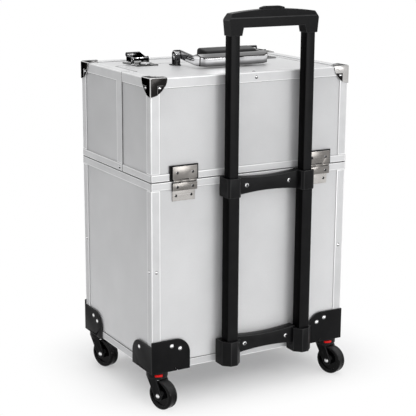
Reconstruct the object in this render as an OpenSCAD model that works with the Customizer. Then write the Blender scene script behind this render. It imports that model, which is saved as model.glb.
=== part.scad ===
// Rolling makeup case: aluminium-edged box with a lid in two halves, a telescopic trolley
// and four detachable casters. +Z is up, the floor is z = 0 and the trolley is at the rear, +Y.

/* [Case] */
// Width over the side panels
case_w = 360; // [330:5:400]
// Depth over the front and rear panels
case_d = 250; // [235:5:290]
// Height of the lower box, from its underside to the seam
base_h = 308; // [290:2:340]
// Height of the lid, from the seam to the top panel
lid_h = 158; // [152:2:190]
// Thickness of the board panels
panel_t = 5; // [4:0.5:6]
// Gap at the seam between the lower box and the lid
seam_gap = 0.5; // [0.3:0.1:1]

/* [Lid split] */
// Depth of the rear half of the lid along the sides
rear_side_d = 98; // [85:1:110]
// Depth of the rear half along its top tongue
rear_top_d = 178; // [172:1:186]
// Width of the front half's top flanges beside the tongue
side_flange = 26; // [20:1:32]
// Width of the band on the front half's split edge
split_band_w = 20; // [14:1:26]
// Gap between the two halves
lid_gap = 0.6; // [0.4:0.1:1]

/* [Edge profiles] */
// Thickness of the aluminium edge profiles
profile_t = 1.5; // [1:0.1:2]
// Leg of the upright corner profiles
corner_leg = 14; // [12:1:18]
// Height of the band around the top edge
top_band_h = 16; // [12:1:20]
// Width of the band on the top face
top_band_w = 14; // [10:1:18]
// Height of the strip around the bottom edge
bottom_band_h = 13; // [10:1:18]
// Width of the strip on the underside
bottom_band_w = 12; // [10:1:16]
// How far the seam bands stand proud of the panels
rim_t = 2; // [1.6:0.1:2.4]
// Thickness of the seam profile inside the panels and over their edges
rim_inner_t = 1.5; // [1:0.1:2]
// Height of the seam band on the lower box
base_rim_h = 13; // [11:0.5:15]
// Height of the seam band on the lid
lid_rim_h = 12; // [10:0.5:14]

/* [Corner caps] */
// Radius of the shield outline of the top corner caps
cap_r = 29.5; // [28.5:0.5:32]
// Sheet thickness of the caps
cap_t = 1.6; // [1.2:0.1:2]
// Distance from the corner at which the rivet pocket starts
cap_pocket = 13; // [12:0.5:13.5]
// Depth of the rivet pocket
cap_pocket_d = 0.7; // [0.4:0.1:0.9]
// Distance of the cap rivets from the edge of their pocket
cap_rivet_in = 1; // [0.5:0.1:1.5]

/* [Fasteners] */
// Radius of the rivet heads
rivet_r = 2.8; // [2.2:0.1:3.2]
// Height of the rivet heads
rivet_h = 1.2; // [0.8:0.1:1.6]
// Radius of the screw heads on the hinges
hinge_screw_r = 2.3; // [1.8:0.1:2.6]
// Radius of the screw heads on the trolley plates
plate_screw_r = 3.6; // [3:0.1:4.2]
// Radius of the drive recess in the screw heads
screw_drive_r = 1; // [0.8:0.1:1.3]
// Height of the corner rivets above the underside of the case
corner_rivet_z = 165; // [100:5:200]
// Shift of the rear band's rivet from the middle
band_rivet_shift = 5; // [0:1:10]

/* [Hinges] */
// Distance of each hinge from the middle of the case
hinge_x = 125; // [124:1:128]
// Width of the hinge leaves
hinge_w = 43; // [38:1:46]
// Distance of the hinge screws from the sides of the leaves
hinge_screw_in = 8; // [6:0.5:10]
// Height of the lid leaf above the seam
leaf_up_h = 23; // [20:1:26]
// Height of the raised part of the lower leaf
leaf_low_h = 15.5; // [15.5:0.5:17]
// Height of the flat tongue under the lower leaf
leaf_tongue_h = 17; // [14:1:20]
// How much narrower the tongue is than the leaf
leaf_tongue_inset = 1.5; // [1:0.5:4]
// Sheet thickness of the leaves
leaf_t = 1.4; // [1:0.1:1.8]
// Radius of the knuckles
knuckle_r = 2.8; // [2.4:0.1:2.8]
// Radius of the hinge pins
hinge_pin_r = 1.3; // [1:0.1:1.6]
// Length of the middle knuckle
knuckle_mid = 13; // [11:0.5:15]
// End gap between knuckles, and between a knuckle and the other leaf
knuckle_gap = 0.3; // [0.3:0.1:0.5]
// Radial running clearance of every pin in its hole
pin_clear = 0.05; // [0.03:0.01:0.08]

/* [Latches] */
// Mean distance of the latches from the sides
latch_inset = 65; // [65:1:70]
// Shift of both latches from the middle
latch_shift = 9; // [5:1:9]
// Width of the latch base plate
latch_w = 39; // [34:1:42]
// Length of the latch base on the front half
latch_l = 33; // [28:1:38]
// Width of the lever
lever_w = 25; // [22:1:28]
// Height of the lever pivot above the top panel
lever_pivot_h = 9; // [8:0.5:10]
// Distance of the lever pivot in front of the split
lever_pivot_back = 6; // [5:0.5:8]
// Sheet thickness of the lever and plates
latch_t = 1.8; // [1.4:0.1:2.2]
// Radius of the rolled finger end of the lever
lever_curl_r = 3.6; // [3:0.1:4]
// Radius of the lever pins
lever_pin_r = 1.5; // [1.2:0.1:1.8]
// How far the lever reaches past the split
lever_tip = 1; // [0.5:0.1:1.2]
// Gap between the lever's cheeks and the base plate
cheek_gap = 1.2; // [0.8:0.1:1.6]
// Thickness of the ears that hold the lever pins
ear_t = 2; // [1.6:0.1:2.4]
// Wall of the ears around the lever pins
ear_wall = 2.5; // [2:0.1:3]
// Side gap between the ears and the lever
ear_gap = 0.4; // [0.3:0.1:0.6]
// Radius of the domed keeper
keeper_r = 9; // [7:0.5:10]
// Edge of the keeper plate around the dome
keeper_edge = 1; // [0.5:0.1:1.5]
// Distance of the keeper plate behind the split
keeper_start = 2; // [1.5:0.1:2.5]

/* [Carry handle] */
// Shift of the carry handle from the middle
handle_shift = 14; // [10:1:15]
// Half of the distance between the two posts
handle_half = 73; // [68:1:74]
// Distance of the handle pivot from the rear panel
handle_back = 146; // [140:1:152]
// Height of the handle pivot above the top panel
handle_pivot_h = 18; // [16:0.5:20]
// Reach of the bail from its pivot to its outer face
bail_reach = 68; // [60:1:76]
// Width of the bail strap, upright when folded
bail_h = 14; // [12:0.5:16]
// Thickness of the bail strap
bail_t = 4; // [3:0.5:5]
// Depth of the bail's cross bar
bail_bar_d = 11; // [9:0.5:13]
// Rise of the cross bar's inner edge above the strap
bail_rise = 5; // [3:0.5:6]
// Length of the bail's cut corners along each side
bail_chamfer = 14; // [12:1:18]
// Distance of the edge between a corner's two facets from the sharp corner
bail_corner_in = 4; // [3:0.5:5]
// Length over which the straps rise to the cross bar
bail_run = 11; // [8:1:14]
// Downward slope of the folded bail in degrees
bail_slope = 6.5; // [5:0.5:7.5]
// Thickness of the posts
post_t = 9; // [7:0.5:11]
// Radius of the rounded post heads and bail ends
post_r = 7; // [6:0.5:8]
// Reach of the post feet beside the posts
post_foot_side = 4; // [3:0.5:5]
// Reach of the post feet in front of and behind the posts
post_foot_end = 3; // [2:0.5:3]
// Radius of the handle pivots
handle_pin_r = 2.5; // [2:0.1:3]
// Side gap between posts and bail
handle_gap = 0.6; // [0.4:0.1:1]
// Depth of the black grip inside the cross bar
carry_grip_d = 34; // [28:1:38]
// Height of the black grip
carry_grip_h = 20; // [14:0.5:20]
// Half length of the black grip
carry_grip_half = 48; // [40:1:50]
// How far the grip reaches below the middle of the bail
carry_grip_drop = 5; // [3:0.5:6]
// Cut of the black grip's upper edges
carry_grip_edge = 3.5; // [2:0.5:5]

/* [Trolley] */
// Shift of the trolley from the middle
trolley_shift = 20; // [16:1:21]
// Half of the distance between the tubes
tube_half = 69; // [64:1:70]
// Distance of the tube axes from the rear panel
tube_standoff = 18; // [18:0.5:20]
// Width of the fixed outer tubes
outer_tube_w = 19.5; // [18.5:0.5:20.5]
// Depth of the fixed outer tubes
outer_tube_d = 20.5; // [19.5:0.5:21]
// Wall of the tubes
tube_wall = 1.3; // [1:0.1:1.5]
// Sliding clearance between the tube stages
tube_clear = 0.2; // [0.15:0.05:0.3]
// Depth of the middle stage left inside the outer tubes
stage_overlap = 85; // [70:5:90]
// Height of the grip's underside sockets above the seam
grip_z = 220; // [216:1:240]
// Length of the inner stage inside the middle stage
inner_len = 265; // [255:5:280]
// Width of the clamps around the outer tubes
clamp_w = 24.5; // [24:0.5:26]
// Depth of the clamps behind the rear panel
clamp_d = 31; // [30.5:0.5:34]
// Height of the clamps
clamp_h = 31; // [28:1:34]
// Distance of the clamps below the seam
clamp_drop = 1; // [1:0.5:3]
// Corner cut of the clamps
clamp_chamfer = 3.5; // [2:0.5:4]
// Width of the boots at the tube feet
boot_w = 34; // [32:1:36]
// Depth of the boots behind the rear panel
boot_d = 34; // [33:1:38]
// Height of the boots
boot_h = 41; // [38:1:46]
// How far the boots hang below the case
boot_drop = 2; // [0:0.5:3]
// Thickness of the boots' floors under the tubes
boot_floor_t = 3; // [2:0.5:5]
// Corner cut of the boots
boot_chamfer = 11; // [8:1:12]
// Depth of the plates between clamps and between boots
plate_d = 16; // [12:1:18]
// Height of the plates at their ends
plate_end_h = 30; // [27:1:30]
// Height of the plates at their waist
plate_waist_h = 22; // [18:1:25]
// Height of the foot plate's middle above the underside of the case
foot_plate_z = 27; // [24:1:30]
// Distance of the plate screws from the middle of the trolley
plate_screw_x = 40; // [36:1:44]

/* [Trolley grip] */
// Height of the grip from its socket ends to its crown
grip_h = 39; // [36:1:42]
// Height of the sockets under the bar
socket_h = 12; // [10:1:16]
// Depth of the inner tubes in the sockets
grip_seat = 10; // [8:1:11]
// Half width of the sockets at their lower ends
socket_half = 10.5; // [10:0.5:12]
// How much wider the sockets are under the bar on each side
socket_flare = 2.5; // [1:0.5:4]
// Depth of the grip
grip_d = 23; // [21:1:25]
// Width of the flat on the grip's crown
crown_d = 12; // [10:1:14]
// Height of the sloped faces of the bar
grip_bevel_h = 12; // [8:1:14]
// Sideways reach of the sloped shoulders
shoulder_in = 9; // [6:1:12]
// Rise of the bar's arch
grip_arch = 6; // [4:0.5:8]
// Width of the release button
button_w = 42; // [36:1:46]
// Depth of the release button
button_d = 9; // [7:0.5:10]
// How far the release button stands out
button_out = 4; // [3:0.5:4.5]
// Travel of the release button
button_travel = 3; // [2:0.5:3]
// Depth of the release button inside the grip
button_in = 6; // [4:0.5:8]
// Length of the slanted ends of the release button
button_slant = 8; // [4:1:10]
// Clearance around the buttons
button_clear = 0.3; // [0.2:0.05:0.4]

/* [Corner brackets] */
// Width of the bracket flanges
bracket_w = 66; // [60:1:72]
// Height of the bracket flanges above the underside of the case
bracket_h = 51; // [46:1:56]
// How much lower the flanges and rivets on the sides of the case stand
bracket_side_drop = 8; // [4:1:10]
// Sheet thickness of the brackets
bracket_t = 2; // [1.6:0.1:2.4]
// Radius of the flanges' upper corners
bracket_r = 26; // [18:1:30]
// Thickness of the caster plate under the case
bracket_floor_t = 2.5; // [2:0.1:3]
// Size of the caster plate from the corner
bracket_floor = 46; // [42:1:50]
// Radius of the rivet heads on the brackets
bracket_rivet_r = 3.6; // [3:0.1:4]
// Distance of each flange's first rivet from the corner
rivet_near = 33; // [30:1:36]
// Height of the first rivet above the underside of the case
rivet_near_z = 40; // [34:1:42]
// Distance of each flange's second rivet from the corner
rivet_far = 48; // [44:1:50]
// Height of the second rivet above the underside of the case
rivet_far_z = 34; // [30:1:36]
// Width of the notch beside the caster
notch_w = 6; // [4:0.5:8]
// Height of the notch
notch_h = 5; // [3:0.5:6]
// How far the notch starts inside the edge of the caster plate
notch_in = 3; // [2:0.5:4]

/* [Casters] */
// Height of the case above the floor
caster_h = 65; // [65:0.5:70]
// Distance of the swivel axes from the panels
caster_inset = 16; // [16:0.5:24]
// Direction in which the casters trail, in degrees from the rear
caster_yaw = 18; // [0:1:25]
// Wheel radius
wheel_r = 24; // [22:0.5:24.5]
// Wheel width
wheel_w = 18; // [16:0.5:19]
// Radius of the tread edges
tread_edge_r = 3; // [2:0.5:4]
// Radius at which the dished side of the wheel begins
dish_r = 18; // [15:0.5:19]
// Depth of the dished sides
dish_d = 4.5; // [3:0.5:5]
// Radius of the wheel hub
hub_r = 7; // [6:0.5:8]
// Trail of the wheel axle behind the swivel axis
caster_trail = 14; // [12:0.5:16]
// Radius of the axle bolts
axle_r = 2.95; // [2.5:0.05:3.2]
// Radius of the axle bolt heads
axle_head_r = 4; // [3.5:0.1:4.5]
// Height of the axle bolt heads
axle_head_h = 1.6; // [1.2:0.1:2]
// Thickness of the fork legs
fork_leg_t = 3; // [2.5:0.1:3.5]
// Side gap between wheel and fork legs
fork_gap = 1.2; // [0.8:0.1:1.6]
// Radius of the fork's lobes around the axle
fork_lobe_r = 8; // [7:0.5:9]
// Reach of the fork legs in front of the swivel axis
fork_front = 11; // [9:0.5:11.5]
// Reach of the fork legs behind the swivel axis
fork_back = 9; // [8:0.5:10]
// Angle at which the front edge of a leg meets its lobe
fork_front_angle = 30; // [20:1:40]
// Angle at which the rear edge of a leg meets its lobe
fork_back_angle = 12; // [5:1:20]
// Radius of the fork crown
fork_crown_r = 16; // [14.5:0.5:17]
// Thickness of the fork crown
fork_crown_t = 2.4; // [2:0.1:2.6]
// Gap between socket and fork crown
swivel_gap = 0.5; // [0.4:0.1:0.8]
// Radius of the swivel stem
stem_r = 5; // [4.5:0.1:6]
// Radius of the caster sockets
socket_r = 17.5; // [16.5:0.5:19]
// Height of the caster sockets
socket_z = 9.5; // [9:0.1:10]
// Roof of the sockets above the stems
socket_roof = 1; // [0.8:0.1:1.5]
// End gap above the stems
stem_gap = 1; // [0.5:0.1:1.5]
// Direction of the release buttons in degrees from the rear
release_yaw = -18; // [-30:1:0]
// Width of the red release buttons
release_w = 13; // [10:0.5:14]
// Height of the red release buttons
release_h = 4; // [3:0.5:4.5]
// Depth of the red release buttons
release_d = 6; // [5:0.5:6.5]
// How far the release buttons stand out
release_out = 1.2; // [1:0.1:1.6]
// Travel of the release buttons
release_travel = 1.5; // [1:0.1:1.8]

/* [Trays] */
// Gap between the ends of the trays and the side panels
tray_end_gap = 15; // [14:0.5:20]
// Depth of the trays
tray_d = 50; // [46:1:52]
// Height of the trays
tray_h = 32; // [28:1:33]
// Wall of the trays
tray_wall = 1.6; // [1.2:0.1:2]
// Distance of the tray pivots behind the front hinge axis
tray_in = 42; // [42:1:46]
// Height of the lower tray's pivot above the seam
tray_low_z = 38; // [36:1:42]
// Height of the upper tray's pivot above the seam
tray_high_z = 110; // [108:1:112]
// Step from the lid pivot to the link pivot, backwards
link_step_y = 18; // [16:1:20]
// Step from the lid pivot to the link pivot, upwards
link_step_z = 8; // [7:0.5:9]
// Radius of the tray pins
tray_pin_r = 2; // [1.8:0.1:2.2]
// Depth of the tray pins in the lid's side panels
tray_pin_in = 3; // [2:0.5:3.5]
// Clearance of the links on the tray pins
link_clear = 0.5; // [0.3:0.1:0.6]
// Width of the links
link_w = 6; // [5:0.5:6.5]
// Thickness of the links
link_t = 2.5; // [2:0.5:3]
// Radius of the link ends
link_end_r = 4.5; // [4:0.1:5]
// Side gap between trays and links
link_gap = 3; // [2:0.5:3.5]
// Thickness of the link posts on the lower box
link_post_t = 3; // [2:0.5:3.5]
// Width of the link posts
link_post_w = 12; // [10:1:14]
// Height of the link posts' feet on the seam channel
link_foot_h = 9; // [7:0.5:10]
// How far the link pins reach through the links
link_pin_end = 1; // [0.5:0.1:1.5]

/* [Hidden] */
$fn = 64;

half_w = case_w / 2;
half_d = case_d / 2;
bottom_z = caster_h;
seam_z = bottom_z + base_h;
top_z = seam_z + lid_h;
split_y = half_d - rear_side_d;
tongue_y = half_d - rear_top_d;
base_rim_top = seam_z - seam_gap / 2;
lid_rim_bottom = seam_z + seam_gap / 2;
band_top = top_z + profile_t;
far = 4 * (case_w + case_d + base_h);
cut = 1;

hinge_axis_y = half_d + rim_t + knuckle_r + knuckle_gap;
knuckle_side = (hinge_w - 2 * leaf_t - knuckle_mid) / 2 - knuckle_gap;

tube_y = half_d + tube_standoff;
middle_tube_w = outer_tube_w - 2 * (tube_wall + tube_clear);
middle_tube_d = outer_tube_d - 2 * (tube_wall + tube_clear);
inner_tube_w = middle_tube_w - 2 * (tube_wall + tube_clear);
inner_tube_d = middle_tube_d - 2 * (tube_wall + tube_clear);
grip_base_z = seam_z + grip_z;
clamp_top = seam_z - clamp_drop;
plate_y = half_d + rim_t;
foot_y = half_d + profile_t;

caster_x = half_w - caster_inset;
caster_y = half_d - caster_inset;
socket_top = bottom_z - bracket_floor_t;
socket_bottom = socket_top - socket_z;
bore_d = socket_z - socket_roof;
fork_top = socket_bottom - swivel_gap;
bore_r = axle_r + pin_clear;
fork_inner = wheel_w / 2 + fork_gap;
fork_outer = fork_inner + fork_leg_t;

handle_y = half_d - handle_back;
handle_z = top_z + handle_pivot_h;
bail_half = handle_half - post_t / 2 - handle_gap;

lever_y = tongue_y - lever_pivot_back;
lever_z = top_z + lever_pivot_h;
latch_x = half_w - latch_inset;

tray_l = case_w - 2 * (panel_t + tray_end_gap);
tray_axis_y = -hinge_axis_y;
link_x = tray_l / 2 + link_gap;
link_post_x = link_x + link_t + link_gap;
tray_pivots = [tray_low_z, tray_high_z];
tray_margin = (tray_d - link_step_y) / 2;
tray_drop = (tray_h - link_step_z) / 2;

// The origin stands under the middle of the whole outline, between front hinges and trolley boots
outline_rear = half_d + boot_d;
outline_front = hinge_axis_y + knuckle_r;
origin_shift = (outline_front - outline_rear) / 2;

aluminium = [0.86, 0.87, 0.88];
panel_grey = [0.80, 0.81, 0.82];
nickel = [0.72, 0.70, 0.67];
chrome = [0.82, 0.82, 0.84];
black = [0.06, 0.06, 0.065];
red = [0.85, 0.05, 0.04];

// Simple shapes
module slab(w, d, h) { translate([-w / 2, -d / 2, 0]) cube([w, d, h]); }
module both_x() {
    children();
    mirror([1, 0, 0]) children();
}
module both_y() {
    children();
    mirror([0, 1, 0]) children();
}
module four_corners() { both_x() both_y() children(); }
module behind(y) { translate([-far / 2, y, -cut]) cube([far, far, far]); }
module before(y) { translate([-far / 2, y - far, -cut]) cube([far, far, far]); }
module rod_x(r, l) { rotate([0, 90, 0]) cylinder(r = r, h = l, center = true); }

// A domed head that stands on z = 0
module dome(r, h) {
    ball_r = (r * r + h * h) / (2 * h);
    intersection() {
        translate([0, 0, h - ball_r]) sphere(ball_r);
        cylinder(r = r, h = h);
    }
}

// A screw head with a round drive recess
module screw_head(r) {
    difference() {
        dome(r, rivet_h);
        translate([0, 0, rivet_h / 2]) cylinder(r = screw_drive_r, h = rivet_h);
    }
}
module face_rear(x, y, z) { translate([x, y, z]) rotate([-90, 0, 0]) children(); }
module face_side(x, y, z) { translate([x, y, z]) rotate([0, 90, 0]) children(); }

// Wall panels
module wall_across(z0, z1) { translate([-half_w, half_d - panel_t, z0]) cube([case_w, panel_t, z1 - z0]); }
module wall_side(z0, z1) {
    translate([half_w - panel_t, -half_d + panel_t, z0]) cube([panel_t, case_d - 2 * panel_t, z1 - z0]);
}
base_wall_low = bottom_z + profile_t;
base_wall_high = base_rim_top - rim_inner_t;
lid_wall_low = lid_rim_bottom + rim_inner_t;
lid_wall_high = top_z - panel_t;

module base_long_panels() { color(panel_grey) both_y() wall_across(base_wall_low, base_wall_high); }
module base_side_panels() { color(panel_grey) both_x() wall_side(base_wall_low, base_wall_high); }
module base_bottom_panel() {
    color(panel_grey) translate([0, 0, base_wall_low])
        slab(case_w - 2 * panel_t, case_d - 2 * panel_t, panel_t);
}

// Upright corner profile in the quadrant of +X and +Y
module corner_profile(z0, z1) {
    difference() {
        translate([half_w - corner_leg, half_d - corner_leg, z0])
            cube([corner_leg + profile_t, corner_leg + profile_t, z1 - z0]);
        translate([half_w - corner_leg - cut, half_d - corner_leg - cut, z0 - cut])
            cube([corner_leg + cut, corner_leg + cut, z1 - z0 + 2 * cut]);
    }
}

// Strip around the bottom edge
module bottom_strip() {
    translate([0, 0, bottom_z]) difference() {
        slab(case_w + 2 * profile_t, case_d + 2 * profile_t, bottom_band_h);
        translate([0, 0, profile_t]) slab(case_w, case_d, bottom_band_h);
        translate([0, 0, -cut])
            slab(case_w - 2 * bottom_band_w, case_d - 2 * bottom_band_w, bottom_band_h);
    }
}
module base_profiles() {
    color(aluminium) {
        bottom_strip();
        four_corners() corner_profile(bottom_z + bottom_band_h, base_rim_top - base_rim_h);
    }
}

// Channel around the seam: it wraps the edges of the wall panels, which enter at its open side
module rim(h, slot_z) {
    difference() {
        slab(case_w + 2 * rim_t, case_d + 2 * rim_t, h);
        translate([0, 0, -cut])
            slab(case_w - 2 * (panel_t + rim_inner_t), case_d - 2 * (panel_t + rim_inner_t), h + 2 * cut);
        translate([0, 0, slot_z]) difference() {
            slab(case_w, case_d, h);
            translate([0, 0, -cut]) slab(case_w - 2 * panel_t, case_d - 2 * panel_t, h + 2 * cut);
        }
    }
}
module base_rim() {
    color(aluminium) translate([0, 0, base_rim_top - base_rim_h]) rim(base_rim_h, -rim_inner_t);
}
module lid_rim() { translate([0, 0, lid_rim_bottom]) rim(lid_rim_h, rim_inner_t); }
module rear_lid_rim() {
    color(aluminium) intersection() {
        lid_rim();
        behind(split_y + lid_gap / 2);
    }
}
module front_lid_rim() {
    color(aluminium) intersection() {
        lid_rim();
        before(split_y - lid_gap / 2);
    }
}

// Lid panels
module rear_lid_back_panel() { color(panel_grey) wall_across(lid_wall_low, lid_wall_high); }
module rear_lid_side_panels() {
    color(panel_grey) both_x() intersection() {
        wall_side(lid_wall_low, lid_wall_high);
        behind(split_y + lid_gap / 2);
    }
}
tongue_half = half_w - side_flange - lid_gap / 2;
module rear_lid_top_panel() {
    back = split_y + lid_gap / 2;
    front = tongue_y + lid_gap / 2;
    color(panel_grey) translate([0, 0, top_z - panel_t]) linear_extrude(panel_t)
        polygon([
            [-half_w, half_d], [-half_w, back], [-tongue_half, back], [-tongue_half, front],
            [tongue_half, front], [tongue_half, back], [half_w, back], [half_w, half_d]
        ]);
}
module front_lid_front_panel() {
    color(panel_grey) mirror([0, 1, 0]) wall_across(lid_wall_low, lid_wall_high);
}

// Blind holes in the side panels carry the tray pins
module tray_pin_holes() {
    for (z = tray_pivots)
        translate([half_w - panel_t - cut, tray_axis_y + tray_in, seam_z + z]) rotate([0, 90, 0])
            cylinder(r = tray_pin_r + pin_clear, h = tray_pin_in + pin_clear + cut);
}
module front_lid_side_panels() {
    color(panel_grey) both_x() difference() {
        intersection() {
            wall_side(lid_wall_low, lid_wall_high);
            before(split_y - lid_gap / 2);
        }
        tray_pin_holes();
    }
}
module front_lid_top_panel() {
    front = tongue_y - lid_gap / 2;
    back = split_y - lid_gap / 2;
    inner = half_w - side_flange + lid_gap / 2;
    color(panel_grey) translate([0, 0, top_z - panel_t]) linear_extrude(panel_t)
        polygon([
            [-half_w, -half_d], [half_w, -half_d], [half_w, back], [inner, back],
            [inner, front], [-inner, front], [-inner, back], [-half_w, back]
        ]);
}

// Band around the top edge and corner profiles of the lid
module top_band() {
    translate([0, 0, band_top - top_band_h]) difference() {
        slab(case_w + 2 * profile_t, case_d + 2 * profile_t, top_band_h);
        translate([0, 0, -cut]) slab(case_w, case_d, top_band_h - profile_t + cut);
        slab(case_w - 2 * top_band_w, case_d - 2 * top_band_w, top_band_h + cut);
    }
}
lid_post_low = lid_rim_bottom + lid_rim_h;
lid_post_high = band_top - top_band_h;
module rear_lid_profiles() {
    color(aluminium) {
        intersection() {
            top_band();
            behind(split_y + lid_gap / 2);
        }
        both_x() corner_profile(lid_post_low, lid_post_high);
    }
}
module front_lid_profiles() {
    color(aluminium) {
        intersection() {
            top_band();
            before(split_y - lid_gap / 2);
        }
        both_x() mirror([0, 1, 0]) corner_profile(lid_post_low, lid_post_high);
        both_x() translate([half_w, split_y - lid_gap / 2 - split_band_w, lid_post_low])
            cube([profile_t, split_band_w, lid_post_high - lid_post_low]);
    }
}

// Corner caps: three-sided shells with a round shield outline and a sunk rivet on each face
cap_corner = [half_w + profile_t + cap_t, half_d + profile_t + cap_t, band_top + cap_t];
cap_rivet = cap_pocket + rivet_r + cap_rivet_in;
module corner_cap() {
    difference() {
        intersection() {
            translate(cap_corner - [cap_r, cap_r, cap_r]) cube(cap_r);
            translate(cap_corner) sphere(cap_r, $fn = 96);
        }
        translate(cap_corner - [far + cap_t, far + cap_t, far + cap_t]) cube(far);
        translate(cap_corner - [far + cap_pocket, far + cap_pocket, cap_pocket_d]) cube([far, far, far]);
        translate(cap_corner - [far + cap_pocket, cap_pocket_d, far + cap_pocket]) cube([far, far, far]);
        translate(cap_corner - [cap_pocket_d, far + cap_pocket, far + cap_pocket]) cube([far, far, far]);
    }
}
module cap_rivets() {
    s = cap_rivet;
    d = cap_pocket_d;
    translate(cap_corner - [s, s, d]) dome(rivet_r, rivet_h);
    translate(cap_corner - [s, d, s]) rotate([-90, 0, 0]) dome(rivet_r, rivet_h);
    translate(cap_corner - [d, s, s]) rotate([0, 90, 0]) dome(rivet_r, rivet_h);
}
module rear_lid_corner_caps() { color(nickel) both_x() corner_cap(); }
module front_lid_corner_caps() { color(nickel) both_x() mirror([0, 1, 0]) corner_cap(); }

// Hinges, drawn at the rear of the case around the hinge axis
module hinge_pair() { both_x() translate([hinge_x, hinge_axis_y, seam_z]) children(); }
module knuckle(x, l) { translate([x, 0, 0]) rod_x(knuckle_r, l); }
module knuckle_web(x, l, up) {
    web_h = knuckle_r + knuckle_gap + cut;
    translate([x - l / 2, 0, up ? 0 : -web_h]) cube([l, leaf_t, web_h]);
}
module pin_hole() { rod_x(hinge_pin_r + pin_clear, hinge_w + 2 * cut); }
leaf_edge = knuckle_r + knuckle_gap;
leaf_seat = -(knuckle_r + knuckle_gap);
panel_seat = leaf_seat - rim_t;
side_x = (knuckle_mid + knuckle_side) / 2 + knuckle_gap;

// Raised pan of a leaf: face plate and side flanges that stand on the seam band
module leaf_pan(z0, z1) {
    translate([-hinge_w / 2, 0, z0]) cube([hinge_w, leaf_t, z1 - z0]);
    both_x() translate([hinge_w / 2 - leaf_t, leaf_seat, z0]) cube([leaf_t, leaf_t - leaf_seat, z1 - z0]);
}
module lower_leaf() {
    tongue_w = hinge_w - 2 * leaf_tongue_inset;
    difference() {
        union() {
            leaf_pan(-leaf_low_h, -leaf_edge);
            translate([-tongue_w / 2, panel_seat, -leaf_low_h])
                cube([tongue_w, leaf_t - panel_seat, leaf_t]);
            translate([-tongue_w / 2, panel_seat, -leaf_low_h - leaf_tongue_h])
                cube([tongue_w, leaf_t, leaf_tongue_h + leaf_t]);
            knuckle(0, knuckle_mid);
            knuckle_web(0, knuckle_mid, false);
        }
        pin_hole();
    }
}
module upper_leaf() {
    difference() {
        union() {
            leaf_pan(leaf_edge, leaf_up_h);
            translate([-hinge_w / 2, panel_seat, leaf_up_h - leaf_t])
                cube([hinge_w, leaf_t - panel_seat, leaf_t]);
            both_x() {
                knuckle(side_x, knuckle_side);
                knuckle_web(side_x, knuckle_side, true);
            }
        }
        pin_hole();
    }
}
module base_hinge_leaves() { color(nickel) both_y() hinge_pair() lower_leaf(); }
module rear_lid_hinge_leaves() { color(nickel) hinge_pair() upper_leaf(); }
module front_lid_hinge_leaves() { color(nickel) mirror([0, 1, 0]) hinge_pair() upper_leaf(); }
module hinge_pins() { color(chrome) both_y() hinge_pair() rod_x(hinge_pin_r, hinge_w - 2 * leaf_t); }
screw_x = hinge_w / 2 - hinge_screw_in;
leaf_low_screw = -(leaf_low_h + leaf_edge) / 2;
leaf_tongue_screw = -leaf_low_h - leaf_tongue_h / 2;
leaf_up_screw = (leaf_up_h + leaf_edge) / 2;
module leaf_screws(y, z) { both_x() face_rear(screw_x, y, z) screw_head(hinge_screw_r); }
module upper_leaf_screws() { hinge_pair() leaf_screws(leaf_t, leaf_up_screw); }

// Rivets and screws
bracket_face = profile_t + bracket_t;
module bracket_side_rivet(in, z) {
    spot_z = bottom_z + z - bracket_side_drop;
    face_side(half_w + bracket_face, half_d - in, spot_z) dome(bracket_rivet_r, rivet_h);
}
module base_rivets() {
    leg_mid = corner_leg / 2;
    leg_z = bottom_z + corner_rivet_z;
    four_corners() {
        face_rear(half_w - leg_mid, half_d + profile_t, leg_z) dome(rivet_r, rivet_h);
        face_side(half_w + profile_t, half_d - leg_mid, leg_z) dome(rivet_r, rivet_h);
        for (spot = [[rivet_near, rivet_near_z], [rivet_far, rivet_far_z]]) {
            spot_z = bottom_z + spot[1];
            face_rear(half_w - spot[0], half_d + bracket_face, spot_z) dome(bracket_rivet_r, rivet_h);
        }
    }
    both_x() {
        bracket_side_rivet((rivet_near + rivet_far) / 2, rivet_near_z);
        mirror([0, 1, 0]) {
            bracket_side_rivet(rivet_near, rivet_near_z);
            bracket_side_rivet(rivet_far, rivet_far_z);
        }
    }
}
module base_fasteners() {
    color(chrome) {
        base_rivets();
        for (side = [-1, 1]) {
            x = -trolley_shift + side * plate_screw_x;
            face_rear(x, plate_y + plate_d, clamp_top - clamp_h / 2) screw_head(plate_screw_r);
            face_rear(x, foot_y + plate_d, bottom_z + foot_plate_z) screw_head(plate_screw_r);
        }
        both_y() hinge_pair() {
            leaf_screws(leaf_t, leaf_low_screw);
            leaf_screws(panel_seat + leaf_t, leaf_tongue_screw);
        }
    }
}
module rear_lid_fasteners() {
    color(chrome) {
        both_x() cap_rivets();
        upper_leaf_screws();
        face_rear(-band_rivet_shift, half_d + profile_t, band_top - top_band_h / 2) dome(rivet_r, rivet_h);
        translate([-band_rivet_shift, half_d - top_band_w / 2, band_top]) dome(rivet_r, rivet_h);
    }
}
module front_lid_fasteners() {
    color(chrome) {
        both_x() mirror([0, 1, 0]) cap_rivets();
        mirror([0, 1, 0]) upper_leaf_screws();
        both_x() face_side(half_w + rim_t, split_y - split_band_w / 2, lid_rim_bottom + lid_rim_h / 2)
            dome(rivet_r, rivet_h);
    }
}

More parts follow.
